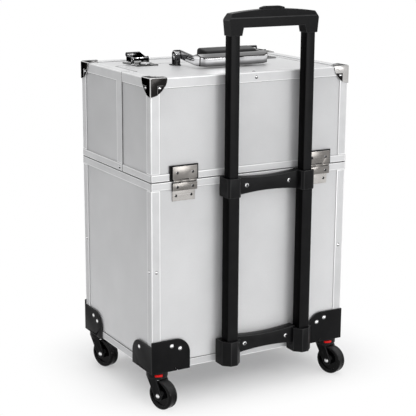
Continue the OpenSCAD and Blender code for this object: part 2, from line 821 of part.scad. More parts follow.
// Corner brackets that wrap the bottom corners and carry the casters
module flange_outline(h) {
    w = bracket_w + bracket_face;
    notch_x = bracket_floor - notch_in;
    difference() {
        intersection() {
            square([w, h]);
            union() {
                square([w, h - bracket_r]);
                square([w - bracket_r, h]);
                translate([w - bracket_r, h - bracket_r]) circle(bracket_r);
            }
        }
        polygon([[notch_x, -cut], [notch_x, notch_h], [notch_x + notch_w, -cut]]);
    }
}
module corner_bracket() {
    corner = [half_w + bracket_face, half_d + bracket_face, bottom_z - bracket_floor_t];
    h = bracket_h + bracket_floor_t;
    translate(corner) {
        rotate([90, 0, 0]) mirror([1, 0, 0]) linear_extrude(bracket_t) flange_outline(h);
        translate([-bracket_t, 0, 0]) rotate([90, 0, 90]) mirror([1, 0, 0]) linear_extrude(bracket_t)
            flange_outline(h - bracket_side_drop);
        translate([-bracket_floor, -bracket_floor, 0]) cube([bracket_floor, bracket_floor, bracket_floor_t]);
    }
}
module corner_brackets() { color(black) four_corners() corner_bracket(); }

// Casters
module at_caster(sx, sy) { translate([sx * caster_x, sy * caster_y, 0]) children(); }
module release_slot(w, d, h) {
    rotate([0, 0, release_yaw]) translate([-w / 2, socket_r - d, -h / 2]) cube([w, 2 * d, h]);
}
release_z = socket_bottom + socket_z / 2;
module caster_socket() {
    difference() {
        translate([0, 0, socket_bottom]) cylinder(r = socket_r, h = socket_z);
        translate([0, 0, socket_bottom - cut]) cylinder(r = stem_r + pin_clear, h = bore_d + cut);
        translate([0, 0, release_z])
            release_slot(
                release_w + 2 * button_clear, release_d + release_travel, release_h + 2 * button_clear
            );
    }
}
module caster_sockets() {
    color(black) for (sx = [-1, 1], sy = [-1, 1]) at_caster(sx, sy) caster_socket();
}
module caster_release(sx, sy) {
    color(red) at_caster(sx, sy) translate([0, 0, release_z]) intersection() {
        release_slot(release_w, release_d, release_h);
        cylinder(r = socket_r + release_out, h = release_h, center = true);
    }
}
module fork_leg_outline() {
    translate([caster_trail, wheel_r]) circle(fork_lobe_r);
    polygon([
        [-fork_front, fork_top], [fork_back, fork_top],
        [caster_trail, wheel_r] + fork_lobe_r * [cos(fork_back_angle), sin(fork_back_angle)],
        [caster_trail, wheel_r] - fork_lobe_r * [cos(fork_front_angle), sin(fork_front_angle)]
    ]);
}
module fork_leg() {
    translate([fork_inner, 0, 0]) rotate([90, 0, 90]) linear_extrude(fork_leg_t) fork_leg_outline();
}
module at_axle() { translate([0, caster_trail, wheel_r]) children(); }
module fork_body() {
    difference() {
        union() {
            translate([0, 0, fork_top - fork_crown_t]) cylinder(r = fork_crown_r, h = fork_crown_t);
            translate([0, 0, fork_top - cut]) cylinder(r = stem_r, h = swivel_gap + bore_d - stem_gap + cut);
            both_x() fork_leg();
        }
        at_axle() rod_x(bore_r, 2 * fork_outer + 2 * cut);
    }
}
module caster_fork(sx, sy) { color(black) at_caster(sx, sy) rotate([0, 0, caster_yaw]) fork_body(); }
module caster_axle(sx, sy) {
    color(chrome) at_caster(sx, sy) rotate([0, 0, caster_yaw]) at_axle() {
        rod_x(axle_r, 2 * fork_outer + axle_head_h);
        both_x() face_side(fork_outer, 0, 0) dome(axle_head_r, axle_head_h);
    }
}

// Half section of the wheel: radius along x, width along y
module wheel_section() {
    edge = tread_edge_r;
    difference() {
        union() {
            translate([bore_r, -wheel_w / 2]) square([wheel_r - edge - bore_r, wheel_w]);
            translate([bore_r, -wheel_w / 2 + edge]) square([wheel_r - bore_r, wheel_w - 2 * edge]);
            for (side = [-1, 1]) translate([wheel_r - edge, side * (wheel_w / 2 - edge)]) circle(edge);
        }
        for (side = [0, 1]) mirror([0, side]) translate([hub_r, wheel_w / 2 - dish_d])
            square([dish_r - hub_r, dish_d + cut]);
    }
}
module caster_wheel(sx, sy) {
    color(black) at_caster(sx, sy) rotate([0, 0, caster_yaw]) at_axle() rotate([0, 90, 0])
        rotate_extrude($fn = 96) wheel_section();
}

// Trolley
module tube(w, d, z0, z1) {
    difference() {
        translate([0, 0, z0]) slab(w, d, z1 - z0);
        translate([0, 0, z0 - cut]) slab(w - 2 * tube_wall, d - 2 * tube_wall, z1 - z0 + 2 * cut);
    }
}
module trolley() { translate([-trolley_shift, 0, 0]) children(); }
module at_tubes() { for (side = [-1, 1]) translate([side * tube_half, tube_y, 0]) children(); }
boot_floor = bottom_z - boot_drop + boot_floor_t;
module trolley_outer_tubes() {
    color(black) trolley() at_tubes() tube(outer_tube_w, outer_tube_d, boot_floor, clamp_top);
}
module trolley_middle_tubes() {
    color(black) trolley() at_tubes()
        tube(middle_tube_w, middle_tube_d, clamp_top - stage_overlap, grip_base_z - tube_clear);
}
module trolley_inner_tubes() {
    color(black) trolley() at_tubes()
        tube(inner_tube_w, inner_tube_d, grip_base_z - inner_len, grip_base_z + grip_seat);
}

// Plate with two arched edges between the tubes, drawn from its back face
module waisted_plate(y, z) {
    span = 2 * tube_half - clamp_w;
    sag = (plate_end_h - plate_waist_h) / 2;
    arc_r = (span * span / 4 + sag * sag) / (2 * sag);
    translate([0, y, z]) difference() {
        translate([-span / 2 - cut, 0, -plate_end_h / 2]) cube([span + 2 * cut, plate_d, plate_end_h]);
        for (side = [-1, 1])
            translate([0, -cut, side * (plate_waist_h / 2 + arc_r)]) rotate([-90, 0, 0])
                cylinder(r = arc_r, h = plate_d + 2 * cut, $fn = 180);
    }
}

// Block around a tube, seen from above, with its two rear corners cut by c
module block_outline(w, front, rear, c) {
    polygon([[-w, front], [w, front], [w, rear - c], [w - c, rear], [c - w, rear], [-w, rear - c]]);
}
module trolley_mid_bracket() {
    color(black) trolley() difference() {
        union() {
            for (side = [-1, 1])
                translate([side * tube_half, 0, clamp_top - clamp_h]) linear_extrude(clamp_h)
                    block_outline(clamp_w / 2, plate_y, half_d + clamp_d, clamp_chamfer);
            waisted_plate(plate_y, clamp_top - clamp_h / 2);
        }
        at_tubes() translate([0, 0, bottom_z]) slab(outer_tube_w, outer_tube_d, base_h);
    }
}
module trolley_foot_bracket() {
    color(black) trolley() difference() {
        union() {
            for (side = [-1, 1])
                translate([side * tube_half, 0, bottom_z - boot_drop]) linear_extrude(boot_h)
                    block_outline(boot_w / 2, foot_y, half_d + boot_d, boot_chamfer);
            waisted_plate(foot_y, bottom_z + foot_plate_z);
        }
        at_tubes() translate([0, 0, boot_floor]) slab(outer_tube_w, outer_tube_d, base_h);
    }
}

// Trolley grip: front outline and side section, crossed
grip_rear = tube_y + grip_d / 2;
grip_front = tube_y - middle_tube_d / 2;
grip_mid = (grip_front + grip_rear) / 2;
grip_out = tube_half + socket_half + socket_flare;
module grip_outline() {
    inner = tube_half - socket_half;
    outer = tube_half + socket_half;
    shoulder_z = grip_h - grip_arch - shoulder_in;
    arc_r = (grip_out * grip_out + grip_arch * grip_arch) / (2 * grip_arch);
    intersection() {
        polygon([
            [inner, 0], [outer, 0], [grip_out, shoulder_z], [grip_out - shoulder_in, grip_h],
            [shoulder_in - grip_out, grip_h], [-grip_out, shoulder_z], [-outer, 0], [-inner, 0],
            [socket_flare - inner, socket_h], [inner - socket_flare, socket_h]
        ]);
        translate([0, grip_h - arc_r]) circle(arc_r, $fn = 240);
    }
}
module grip_section() {
    chamfer = (grip_rear - grip_front - crown_d) / 2;
    polygon([
        [grip_front, 0], [grip_rear, 0], [grip_rear, grip_h - grip_bevel_h], [grip_rear - chamfer, grip_h],
        [grip_front + chamfer, grip_h], [grip_front, grip_h - grip_bevel_h]
    ]);
}
module trolley_grip() {
    color(black) trolley() difference() {
        translate([0, 0, grip_base_z]) intersection() {
            translate([0, far / 2, 0]) rotate([90, 0, 0]) linear_extrude(far) grip_outline();
            translate([-far / 2, 0, 0]) rotate([90, 0, 90]) linear_extrude(far) grip_section();
        }
        at_tubes() translate([0, 0, grip_base_z - cut]) slab(inner_tube_w, inner_tube_d, grip_seat + cut);
        translate([0, grip_mid, grip_base_z + grip_h - button_in - button_travel])
            slab(button_w + 2 * button_clear, button_d + 2 * button_clear, far);
    }
}
module trolley_button() {
    button_z = grip_base_z + grip_h - button_in + button_clear;
    button_h = button_in + button_out - button_clear;
    color(black) trolley() translate([0, grip_mid + button_d / 2, button_z]) rotate([90, 0, 0])
        linear_extrude(button_d) polygon([
            [-button_w / 2, 0], [button_w / 2, 0], [button_w / 2, button_h - button_out / 2],
            [button_w / 2 - button_slant, button_h], [button_slant - button_w / 2, button_h],
            [-button_w / 2, button_h - button_out / 2]
        ]);
}

// Carry handle
module handle() { translate([-handle_shift, handle_y, handle_z]) children(); }
module handle_posts() {
    foot_w = post_t + post_foot_side;
    foot_d = 2 * (post_r + post_foot_end);
    color(chrome) handle() both_x() translate([handle_half, 0, 0]) difference() {
        union() {
            rod_x(post_r, post_t);
            translate([-post_t / 2, -post_r, -handle_pivot_h]) cube([post_t, 2 * post_r, handle_pivot_h]);
            translate([-post_t / 2, -foot_d / 2, -handle_pivot_h]) cube([foot_w, foot_d, latch_t]);
        }
        rod_x(handle_pin_r + pin_clear, foot_w + post_t);
    }
}
// Bail seen from above: straps from the pivots, two-facet corners and a cross bar
module bail_outline() {
    w = bail_half;
    r = bail_reach;
    c = bail_chamfer;
    k = bail_corner_in;
    polygon([
        [-w, 0], [w, 0], [w, r - c], [w - k, r - k], [w - c, r],
        [c - w, r], [k - w, r - k], [-w, r - c]
    ]);
}
module bail_window() {
    w = bail_half - bail_t;
    r = bail_reach - bail_bar_d;
    c = bail_chamfer - bail_bar_d;
    polygon([[-w, -cut], [w, -cut], [w, r - c], [w - c, r], [c - w, r], [-w, r - c]]);
}

// Bail seen from the side: the cross bar rises to its inner edge
module bail_section() {
    h = bail_h / 2;
    polygon([
        [0, -h], [bail_reach, -h], [bail_reach, h], [bail_reach - bail_bar_d, h + bail_rise],
        [bail_reach - bail_bar_d - bail_run, h], [0, h]
    ]);
}
module handle_bail() {
    color(chrome) handle() rotate([-bail_slope, 0, 0]) {
        intersection() {
            translate([0, 0, -bail_h]) linear_extrude(2 * bail_h + bail_rise) difference() {
                bail_outline();
                bail_window();
            }
            translate([-case_w / 2, 0, 0]) rotate([90, 0, 90]) linear_extrude(case_w) bail_section();
        }
        both_x() {
            translate([bail_half - bail_t / 2, 0, 0]) rod_x(bail_h / 2, bail_t);
            translate([bail_half - bail_t / 2 + post_t / 2, 0, 0]) rod_x(handle_pin_r, bail_t + post_t);
        }
    }
}
module grip_pad_section() {
    d = carry_grip_d;
    h = carry_grip_h;
    e = carry_grip_edge;
    polygon([[0, 0], [d, 0], [d, h - e], [d - e, h], [e, h], [0, h - e]]);
}
module handle_grip() {
    color(black) handle() rotate([-bail_slope, 0, 0])
        translate([-carry_grip_half, bail_reach - bail_bar_d - carry_grip_d, -carry_grip_drop])
            rotate([90, 0, 90]) linear_extrude(2 * carry_grip_half) grip_pad_section();
}

// Latches, drawn around the lever pivot
module latch(side) { translate([side * latch_x - latch_shift, lever_y, lever_z]) children(); }
ear_x = lever_w / 2 + ear_gap;
ear_r = lever_pin_r + ear_wall;
module latch_base() {
    plate_front = lever_pivot_back - latch_l;
    translate([-latch_w / 2, plate_front, -lever_pivot_h])
        cube([latch_w, latch_l - lid_gap, latch_t]);
    both_x() difference() {
        union() {
            translate([ear_x, 0, 0]) rotate([0, 90, 0]) cylinder(r = ear_r, h = ear_t);
            translate([ear_x, -ear_r, -lever_pivot_h]) cube([ear_t, 2 * ear_r, lever_pivot_h]);
        }
        rod_x(lever_pin_r + pin_clear, 4 * ear_x);
    }
}
module latch_bases() { color(chrome) for (side = [-1, 1]) latch(side) latch_base(); }
module latch_lever(side) {
    barrel_r = lever_pin_r + latch_t;
    front = lever_pivot_back - latch_l;
    cheek_low = latch_t + cheek_gap - lever_pivot_h;
    color(chrome) latch(side) {
        rod_x(barrel_r, lever_w);
        rod_x(lever_pin_r, lever_w + 2 * (ear_gap + ear_t));
        translate([-lever_w / 2, front, barrel_r - latch_t])
            cube([lever_w, lever_pivot_back + lever_tip - front, latch_t]);
        translate([-lever_w / 2, lever_pivot_back + lever_tip - latch_t, 0])
            cube([lever_w, latch_t, barrel_r]);
        both_x() translate([lever_w / 2 - latch_t, front, cheek_low])
            cube([latch_t, -front, barrel_r - cheek_low]);
        translate([0, front, barrel_r - latch_t + lever_curl_r]) difference() {
            rod_x(lever_curl_r, lever_w);
            rod_x(lever_curl_r - latch_t, lever_w + 2 * cut);
            translate([-lever_w, 0, -latch_t / 2]) cube([2 * lever_w, far, lever_curl_r]);
        }
    }
}
module latch_keepers() {
    plate_l = 2 * (keeper_r + keeper_edge);
    color(chrome) for (side = [-1, 1])
        translate([side * latch_x - latch_shift, tongue_y + keeper_start, top_z]) {
            translate([-latch_w / 2, 0, 0]) cube([latch_w, plate_l, latch_t]);
            translate([0, plate_l / 2, 0]) intersection() {
                sphere(keeper_r);
                cylinder(r = keeper_r, h = keeper_r);
            }
        }
}

// Self-levelling trays: hung on the front half's sides, and held level by links from the lower box
module tray(z) {
    pivot_y = tray_axis_y + tray_in;
    color(black) translate([0, pivot_y, seam_z + z]) {
        translate([0, tray_d / 2 - tray_margin, -tray_drop]) difference() {
            slab(tray_l, tray_d, tray_h);
            translate([0, 0, tray_wall]) slab(tray_l - 2 * tray_wall, tray_d - 2 * tray_wall, tray_h);
        }
        both_x() {
            translate([tray_l / 2 - tray_wall / 2, 0, 0]) rotate([0, 90, 0])
                cylinder(r = tray_pin_r, h = half_w - panel_t + tray_pin_in - tray_l / 2 + tray_wall / 2);
            translate([tray_l / 2 - tray_wall / 2, link_step_y, link_step_z]) rotate([0, 90, 0])
                cylinder(r = tray_pin_r, h = link_x + link_t + link_pin_end - tray_l / 2 + tray_wall / 2);
        }
    }
}
module tray_lower() { tray(tray_low_z); }
module tray_upper() { tray(tray_high_z); }

// Link outline: backwards along x, upwards along y, from its pivot on the lower box
module link_outline() {
    bar = norm([tray_in, tray_low_z]);
    difference() {
        union() {
            circle(link_end_r);
            rotate(atan2(tray_low_z, tray_in)) translate([0, -link_w / 2]) square([bar, link_w]);
            translate([tray_in - link_w / 2, tray_low_z]) square([link_w, tray_high_z - tray_low_z]);
            for (z = tray_pivots) translate([tray_in, z]) circle(link_end_r);
        }
        circle(tray_pin_r + pin_clear);
        for (z = tray_pivots) translate([tray_in, z]) circle(tray_pin_r + link_clear);
    }
}
module at_link() { translate([0, tray_axis_y + link_step_y, seam_z + link_step_z]) children(); }
module tray_links() {
    color(nickel) at_link() both_x() translate([link_x, 0, 0]) rotate([90, 0, 90]) linear_extrude(link_t)
        link_outline();
}

// Posts inside the lower box that carry the links
module tray_link_posts() {
    post_low = -base_rim_h - link_step_z;
    seat_x = half_w - panel_t - rim_inner_t;
    color(nickel) at_link() both_x() {
        translate([link_post_x, -link_post_w / 2, post_low]) cube([link_post_t, link_post_w, -post_low]);
        translate([link_post_x, 0, 0]) rotate([0, 90, 0]) cylinder(r = link_post_w / 2, h = link_post_t);
        translate([link_post_x, -link_post_w / 2, post_low])
            cube([seat_x - link_post_x, link_post_w, link_foot_h]);
        translate([link_x - link_pin_end, 0, 0]) rotate([0, 90, 0])
            cylinder(r = tray_pin_r, h = link_post_x - link_x + link_pin_end + link_post_t / 2);
    }
}

module place() { translate([0, origin_shift, 0]) children(); }
place() base_long_panels();
place() base_side_panels();
place() base_bottom_panel();
place() base_profiles();
place() base_rim();
place() base_fasteners();
place() corner_brackets();
place() caster_sockets();
place() base_hinge_leaves();
place() hinge_pins();
place() tray_link_posts();
place() trolley_outer_tubes();
place() trolley_mid_bracket();
place() trolley_foot_bracket();
place() rear_lid_back_panel();
place() rear_lid_side_panels();
place() rear_lid_top_panel();
place() rear_lid_profiles();
place() rear_lid_rim();
place() rear_lid_corner_caps();
place() rear_lid_fasteners();
place() rear_lid_hinge_leaves();
place() handle_posts();
place() latch_keepers();
place() front_lid_front_panel();
place() front_lid_side_panels();
place() front_lid_top_panel();
place() front_lid_profiles();
place() front_lid_rim();
place() front_lid_corner_caps();
place() front_lid_fasteners();
place() front_lid_hinge_leaves();
place() latch_bases();
place() latch_lever(1);  // latch_lever_left
place() latch_lever(-1);  // latch_lever_right
place() handle_bail();
place() handle_grip();
place() trolley_middle_tubes();
place() trolley_inner_tubes();
place() trolley_grip();
place() trolley_button();
place() tray_lower();
place() tray_upper();
place() tray_links();
place() caster_fork(1, 1);  // caster_fork_rear_left
place() caster_fork(-1, 1);  // caster_fork_rear_right
place() caster_fork(1, -1);  // caster_fork_front_left
place() caster_fork(-1, -1);  // caster_fork_front_right
place() caster_wheel(1, 1);  // caster_wheel_rear_left
place() caster_wheel(-1, 1);  // caster_wheel_rear_right
place() caster_wheel(1, -1);  // caster_wheel_front_left
place() caster_wheel(-1, -1);  // caster_wheel_front_right
place() caster_axle(1, 1);  // caster_axle_rear_left
place() caster_axle(-1, 1);  // caster_axle_rear_right
place() caster_axle(1, -1);  // caster_axle_front_left
place() caster_axle(-1, -1);  // caster_axle_front_right
place() caster_release(1, 1);  // caster_release_rear_left
place() caster_release(-1, 1);  // caster_release_rear_right
place() caster_release(1, -1);  // caster_release_front_left
place() caster_release(-1, -1);  // caster_release_front_right
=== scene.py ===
"""Dresses the rolling makeup case: finishes, rounded edges, lining, wheels, caps and a plain studio."""

import logging
import math
from collections.abc import Callable, Iterable
from dataclasses import dataclass
from enum import Enum
from functools import lru_cache

import bmesh
import bpy
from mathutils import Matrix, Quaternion, Vector


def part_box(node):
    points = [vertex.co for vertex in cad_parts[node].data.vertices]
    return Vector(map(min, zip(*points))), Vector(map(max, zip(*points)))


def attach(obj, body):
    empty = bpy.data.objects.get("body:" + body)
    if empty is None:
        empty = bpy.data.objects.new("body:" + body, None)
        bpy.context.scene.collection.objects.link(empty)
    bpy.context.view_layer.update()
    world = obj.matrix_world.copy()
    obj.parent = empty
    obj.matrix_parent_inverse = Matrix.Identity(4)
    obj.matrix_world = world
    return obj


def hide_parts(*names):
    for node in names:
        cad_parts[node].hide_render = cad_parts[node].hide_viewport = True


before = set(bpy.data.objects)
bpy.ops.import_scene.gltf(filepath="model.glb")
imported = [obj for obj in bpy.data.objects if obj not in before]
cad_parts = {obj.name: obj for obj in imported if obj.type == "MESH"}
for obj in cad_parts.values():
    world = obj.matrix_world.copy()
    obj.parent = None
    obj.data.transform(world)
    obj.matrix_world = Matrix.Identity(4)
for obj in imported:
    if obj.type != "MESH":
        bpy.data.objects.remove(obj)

MM = 0.001
HINGE_W = 43 * MM
WHITE = (1.0, 1.0, 1.0)

# Parts of a unit vector: a side that faces an axis, and one that lies along it
FACING = 0.5
ALONG = 0.9

# Edges sharper than this are rounded, in degrees
SHARP = 40.0

# Octaves of noise
FINE = 2.0
CLOUDY = 3.0
WORN = 4.0

Triple = tuple[float, float, float]
Span = tuple[float, float]
Piece = bpy.types.Object
Socket = bpy.types.NodeSocket
Element = bmesh.types.BMFace | bmesh.types.BMEdge
Test = Callable[[Vector, Vector], bool]

logging.basicConfig(level=logging.INFO, format="%(message)s")
log = logging.getLogger("makeup_case")


class Body(str, Enum):
    """The moving bodies that pieces ride on."""

    BASE = "base"
    REAR_LID = "rear_lid"
    FRONT_LID = "front_lid"
    LATCH_LEFT = "latch_left"
    LATCH_RIGHT = "latch_right"
    HANDLE = "carry_handle"
    STAGE_2 = "trolley_stage_2"
    STAGE_3 = "trolley_stage_3"
    BUTTON = "trolley_button"
    TRAY_LOWER = "tray_lower"
    TRAY_UPPER = "tray_upper"
    TRAY_LINKS = "tray_links"


class Grain(Enum):
    """The direction of the drawing lines in a metal strip, as coordinate scales."""

    LEVEL = (4.0, 4.0, 2600.0)
    UPRIGHT = (2600.0, 2600.0, 4.0)
    EVEN = (900.0, 900.0, 900.0)


class Corner(Enum):
    """The four caster corners, as parts of node names."""

    REAR_LEFT = "rear_left"
    REAR_RIGHT = "rear_right"
    FRONT_LEFT = "front_left"
    FRONT_RIGHT = "front_right"


class Select(Enum):
    """What is picked in edit mode, with its name in a mesh."""

    FACE = "faces"
    EDGE = "edges"


class Wire:
    """A shader socket that takes part in Python arithmetic."""

    def __init__(self, graph: "Graph", socket: Socket) -> None:
        """Keeps the socket and the graph that holds it."""
        self.graph = graph
        self.socket = socket

    def _math(self, operation: str, first: "Wire | float", second: "Wire | float") -> "Wire":
        """Adds one Math node on two values."""
        return self.graph.node("ShaderNodeMath", {"operation": operation}, {0: first, 1: second})

    def __add__(self, other: "Wire | float") -> "Wire":
        """Sum."""
        return self._math("ADD", self, other)

    def __sub__(self, other: "Wire | float") -> "Wire":
        """Difference."""
        return self._math("SUBTRACT", self, other)

    def __rsub__(self, other: float) -> "Wire":
        """Difference from a number."""
        return self._math("SUBTRACT", other, self)

    def __mul__(self, other: "Wire | float") -> "Wire":
        """Product."""
        return self._math("MULTIPLY", self, other)

    def __or__(self, other: "Wire | float") -> "Wire":
        """The larger of two masks."""
        return self._math("MAXIMUM", self, other)


class Graph:
    """One node tree, built by method calls."""

    def __init__(self, tree: bpy.types.NodeTree) -> None:
        """Empties the tree."""
        self.tree = tree
        tree.nodes.clear()

    def node(
        self,
        kind: str,
        settings: dict[str, object] | None = None,
        sockets: dict[int | str, object] | None = None,
        out: int | str = 0,
    ) -> Wire:
        """Adds a node.

        Args:
            kind: The node's type name.
            settings: Properties that are set first; "stops" fills a colour ramp.
            sockets: Values or wires for its inputs, by index, identifier or name.
            out: The output that is wanted, by index, identifier or name.

        Returns:
            The wanted output as a wire.
        """
        made = self.tree.nodes.new(kind)
        for key, value in (settings or {}).items():
            if key == "stops":
                for index, (place, shade) in enumerate(value):
                    stops = made.color_ramp.elements
                    stop = stops[index] if index < len(stops) else stops.new(place)
                    stop.position = place
                    stop.color = (*shade, 1.0)
            else:
                setattr(made, key, value)
        for key, value in (sockets or {}).items():
            self._feed(self._find(made.inputs, key), value)
        return Wire(self, self._find(made.outputs, out))

    def _find(self, sockets: Iterable[Socket], key: int | str) -> Socket:
        """Finds a socket by index, identifier or name."""
        if isinstance(key, int):
            return sockets[key]
        return next(socket for socket in sockets if key in (socket.identifier, socket.name))

    def _feed(self, socket: Socket, value: object) -> None:
        """Links a wire or sets a plain value."""
        if isinstance(value, Wire):
            self.tree.links.new(value.socket, socket)
        elif socket.type == "RGBA":
            socket.default_value = (*value, 1.0)
        else:
            socket.default_value = value

    def vector(self, operation: str, *values: Wire | Triple, out: int | str = 0) -> Wire:
        """Adds one Vector Math node on its values."""
        return self.node("ShaderNodeVectorMath", {"operation": operation}, dict(enumerate(values)), out)

    def part(self, vector: Wire, axis: str) -> Wire:
        """One coordinate of a vector."""
        return self.node("ShaderNodeSeparateXYZ", None, {0: vector}, axis)

    def place(self, stretch: Triple = (1.0, 1.0, 1.0)) -> Wire:
        """Object coordinates, scaled along each axis."""
        return self.vector("MULTIPLY", self.node("ShaderNodeTexCoord", out="Object"), stretch)

    def tilt(self) -> Wire:
        """How far a surface looks up, from -1 to 1, in the piece's own axes."""
        return self.part(self.node("ShaderNodeTexCoord", out="Normal"), "Z")

    def noise(self, stretch: Triple, detail: float, rough: float = 0.5) -> Wire:
        """Fractal noise on Object coordinates, from 0 to 1."""
        return self.node(
            "ShaderNodeTexNoise",
            {"noise_dimensions": "3D"},
            {"Vector": self.place(stretch), "Scale": 1.0, "Detail": detail, "Roughness": rough},
            "Fac",
        )

    def even_noise(self, scale: float, detail: float) -> Wire:
        """Noise of the same scale along every axis."""
        return self.noise((scale, scale, scale), detail)

    def spread(self, value: Wire, low: float, high: float) -> Wire:
        """Maps the span from low to high onto 0 to 1, smoothly."""
        return self.node(
            "ShaderNodeMapRange",
            {"interpolation_type": "SMOOTHSTEP"},
            {"Value": value, "From Min": low, "From Max": high},
        )

    def mingle(self, first: Wire, second: Wire, share: float, ends: Span) -> Wire:
        """Mixes two noises by the share of the first, and spreads what lies between two ends."""
        return self.spread(first * share + second * (1.0 - share), *ends)

    def uneven(self, first: Wire, second: Wire, rough: float, vary: float) -> Wire:
        """A roughness that two noises vary."""
        return first * vary + second * vary + (rough - vary)

    def mirror_rays(self) -> Wire:
        """1 for rays from the camera and for those that metal or glass sends on."""
        kinds = ("Is Camera Ray", "Is Glossy Ray", "Is Transmission Ray")
        camera, glossy, through = (self.node("ShaderNodeLightPath", out=kind) for kind in kinds)
        return camera | glossy | through

    def blend(self, mask: Wire, first: Triple | Wire, second: Triple | Wire) -> Wire:
        """Mixes two colours by a mask."""
        return self.node(
            "ShaderNodeMix",
            {"data_type": "RGBA"},
            {"Factor_Float": mask, "A_Color": first, "B_Color": second},
            "Result_Color",
        )

    def bump(self, height: Wire, strength: float, depth: float) -> Wire:
        """Turns a height into a normal."""
        sockets = {"Height": height, "Strength": strength, "Distance": depth}
        return self.node("ShaderNodeBump", None, sockets, "Normal")

    def surface(self, **sockets: object) -> None:
        """Ends the tree in a Principled surface; socket names use _ for spaces."""
        named = {key.replace("_", " "): value for key, value in sockets.items()}
        self.end(self.node("ShaderNodeBsdfPrincipled", None, named))

    def end(self, shader: Wire, kind: str = "ShaderNodeOutputMaterial") -> None:
        """Links a shader to the tree's output node."""
        output = self.tree.nodes.new(kind)
        self._feed(output.inputs["Surface"], shader)


@dataclass(frozen=True)
class Finish:
    """A named surface finish."""

    name: str

    def draw(self, graph: Graph) -> None:
        """Draws the finish into a node tree."""
        raise NotImplementedError


@lru_cache(maxsize=None)
def material_of(finish: Finish) -> bpy.types.Material:
    """Makes a finish's material once.

    Args:
        finish: The finish to draw.

    Returns:
        The material.
    """
    material = bpy.data.materials.new(finish.name)
    material.use_nodes = True
    finish.draw(Graph(material.node_tree))
    return material


@dataclass(frozen=True)
class SilverBoard(Finish):
    """Silver laminate on board: fine flake under a satin film, with faint clouds."""

    colour: Triple = (0.465, 0.467, 0.473)
    light: Triple = (0.77, 0.772, 0.778)
    sheen: float = 0.42
    # share of painted shade: the film is darker towards the top and lighter towards the bottom
    painted_shade_share: float = 0.6
    low: float = 0.05
    high: float = 0.53
    flake: float = 2200.0
    flake_share: float = 0.45
    cloud: float = 7.0
    contrast: Span = (0.30, 0.70)
    film: Span = (0.2, 0.8)
    vary: float = 0.10
    metal: float = 0.25
    relief: float = 0.10
    depth: float = 0.0002

    def draw(self, graph: Graph) -> None:
        """Draws flake, clouds and a fine grain on a film, with painted shade that darkens it upwards and
        lightens it downwards.
        """
        flake = graph.even_noise(self.flake, FINE)
        cloud = graph.even_noise(self.cloud, CLOUDY)
        grain = graph.mingle(flake, cloud, self.flake_share, self.contrast)
        height = graph.part(graph.place(), "Z")
        # painted shade: lightest below the height low, darkest above the height high
        tone = grain * (1 - self.painted_shade_share) + (1.0 - graph.spread(height, self.low, self.high)) * self.painted_shade_share
        graph.surface(
            Base_Color=graph.blend(tone, self.colour, self.light),
            Metallic=self.metal,
            Roughness=graph.spread(flake, *self.film) * self.vary + self.sheen,
            Normal=graph.bump(flake, self.relief, self.depth),
        )


@dataclass(frozen=True)
class DrawnMetal(Finish):
    """Metal with drawing lines, dust-fine scratches and slight tone changes."""

    colour: Triple
    dark: Triple
    rough: float
    vary: float = 0.10
    grain: Grain = Grain.EVEN
    groove: float = 0.12
    metal: float = 1.0
    grazing: float = 1.0
    line_rough: float = 0.6
    line_share: float = 0.4
    cloud: float = 28.0
    contrast: Span = (0.32, 0.68)
    depth: float = 0.0002

    def draw(self, graph: Graph) -> None:
        """Draws lines and clouds into colour, roughness and normal."""
        lines = graph.noise(self.grain.value, CLOUDY, self.line_rough)
        cloud = graph.even_noise(self.cloud, CLOUDY)
        tone = graph.mingle(lines, cloud, self.line_share, self.contrast)
        graph.surface(
            Base_Color=graph.blend(tone, self.dark, self.colour),
            Metallic=self.metal,
            Specular_Tint=(self.grazing,) * 3,
            Roughness=graph.uneven(lines, cloud, self.rough, self.vary),
            Normal=graph.bump(lines, self.groove, self.depth),
        )


@dataclass(frozen=True)
class GrainedSurface(Finish):
    """Plastic, rubber, paint or foam, most of it black, with its grain, a little wear and, where asked, a
    painted sheen on faces that look up.
    """

    colour: Triple
    worn: Triple
    rough: float
    vary: float = 0.12
    grain: float = 1500.0
    relief: float = 0.18
    gloss: float = 0.4
    coat: float = 0.0
    coat_rough: float = 0.08
    # painted sheen: faces that look up are paled towards a lighter colour by this share
    upper: float = 0.0
    painted_sheen_tilt: Span = (0.05, 0.95)
    dust_and_sheen: Triple = (0.050, 0.050, 0.051)
    wear: float = 38.0
    wear_share: float = 0.7
    contrast: Span = (0.35, 0.72)
    depth: float = 0.0003

    def draw(self, graph: Graph) -> None:
        """Draws grain, broad wear and a painted sheen that pales the faces that look up."""
        pebble = graph.even_noise(self.grain, FINE)
        wear = graph.even_noise(self.wear, WORN)
        mask = graph.mingle(wear, pebble, self.wear_share, self.contrast)
        # painted sheen mask, from how far the face looks up
        painted_sheen_mask = graph.spread(graph.tilt(), *self.painted_sheen_tilt) * self.upper
        graph.surface(
            Base_Color=graph.blend(painted_sheen_mask, graph.blend(mask, self.colour, self.worn), self.dust_and_sheen),
            Roughness=graph.uneven(pebble, wear, self.rough, self.vary),
            Specular_IOR_Level=self.gloss,
            Coat_Weight=self.coat,
            Coat_Roughness=self.coat_rough,
            Normal=graph.bump(pebble, self.relief, self.depth),
        )


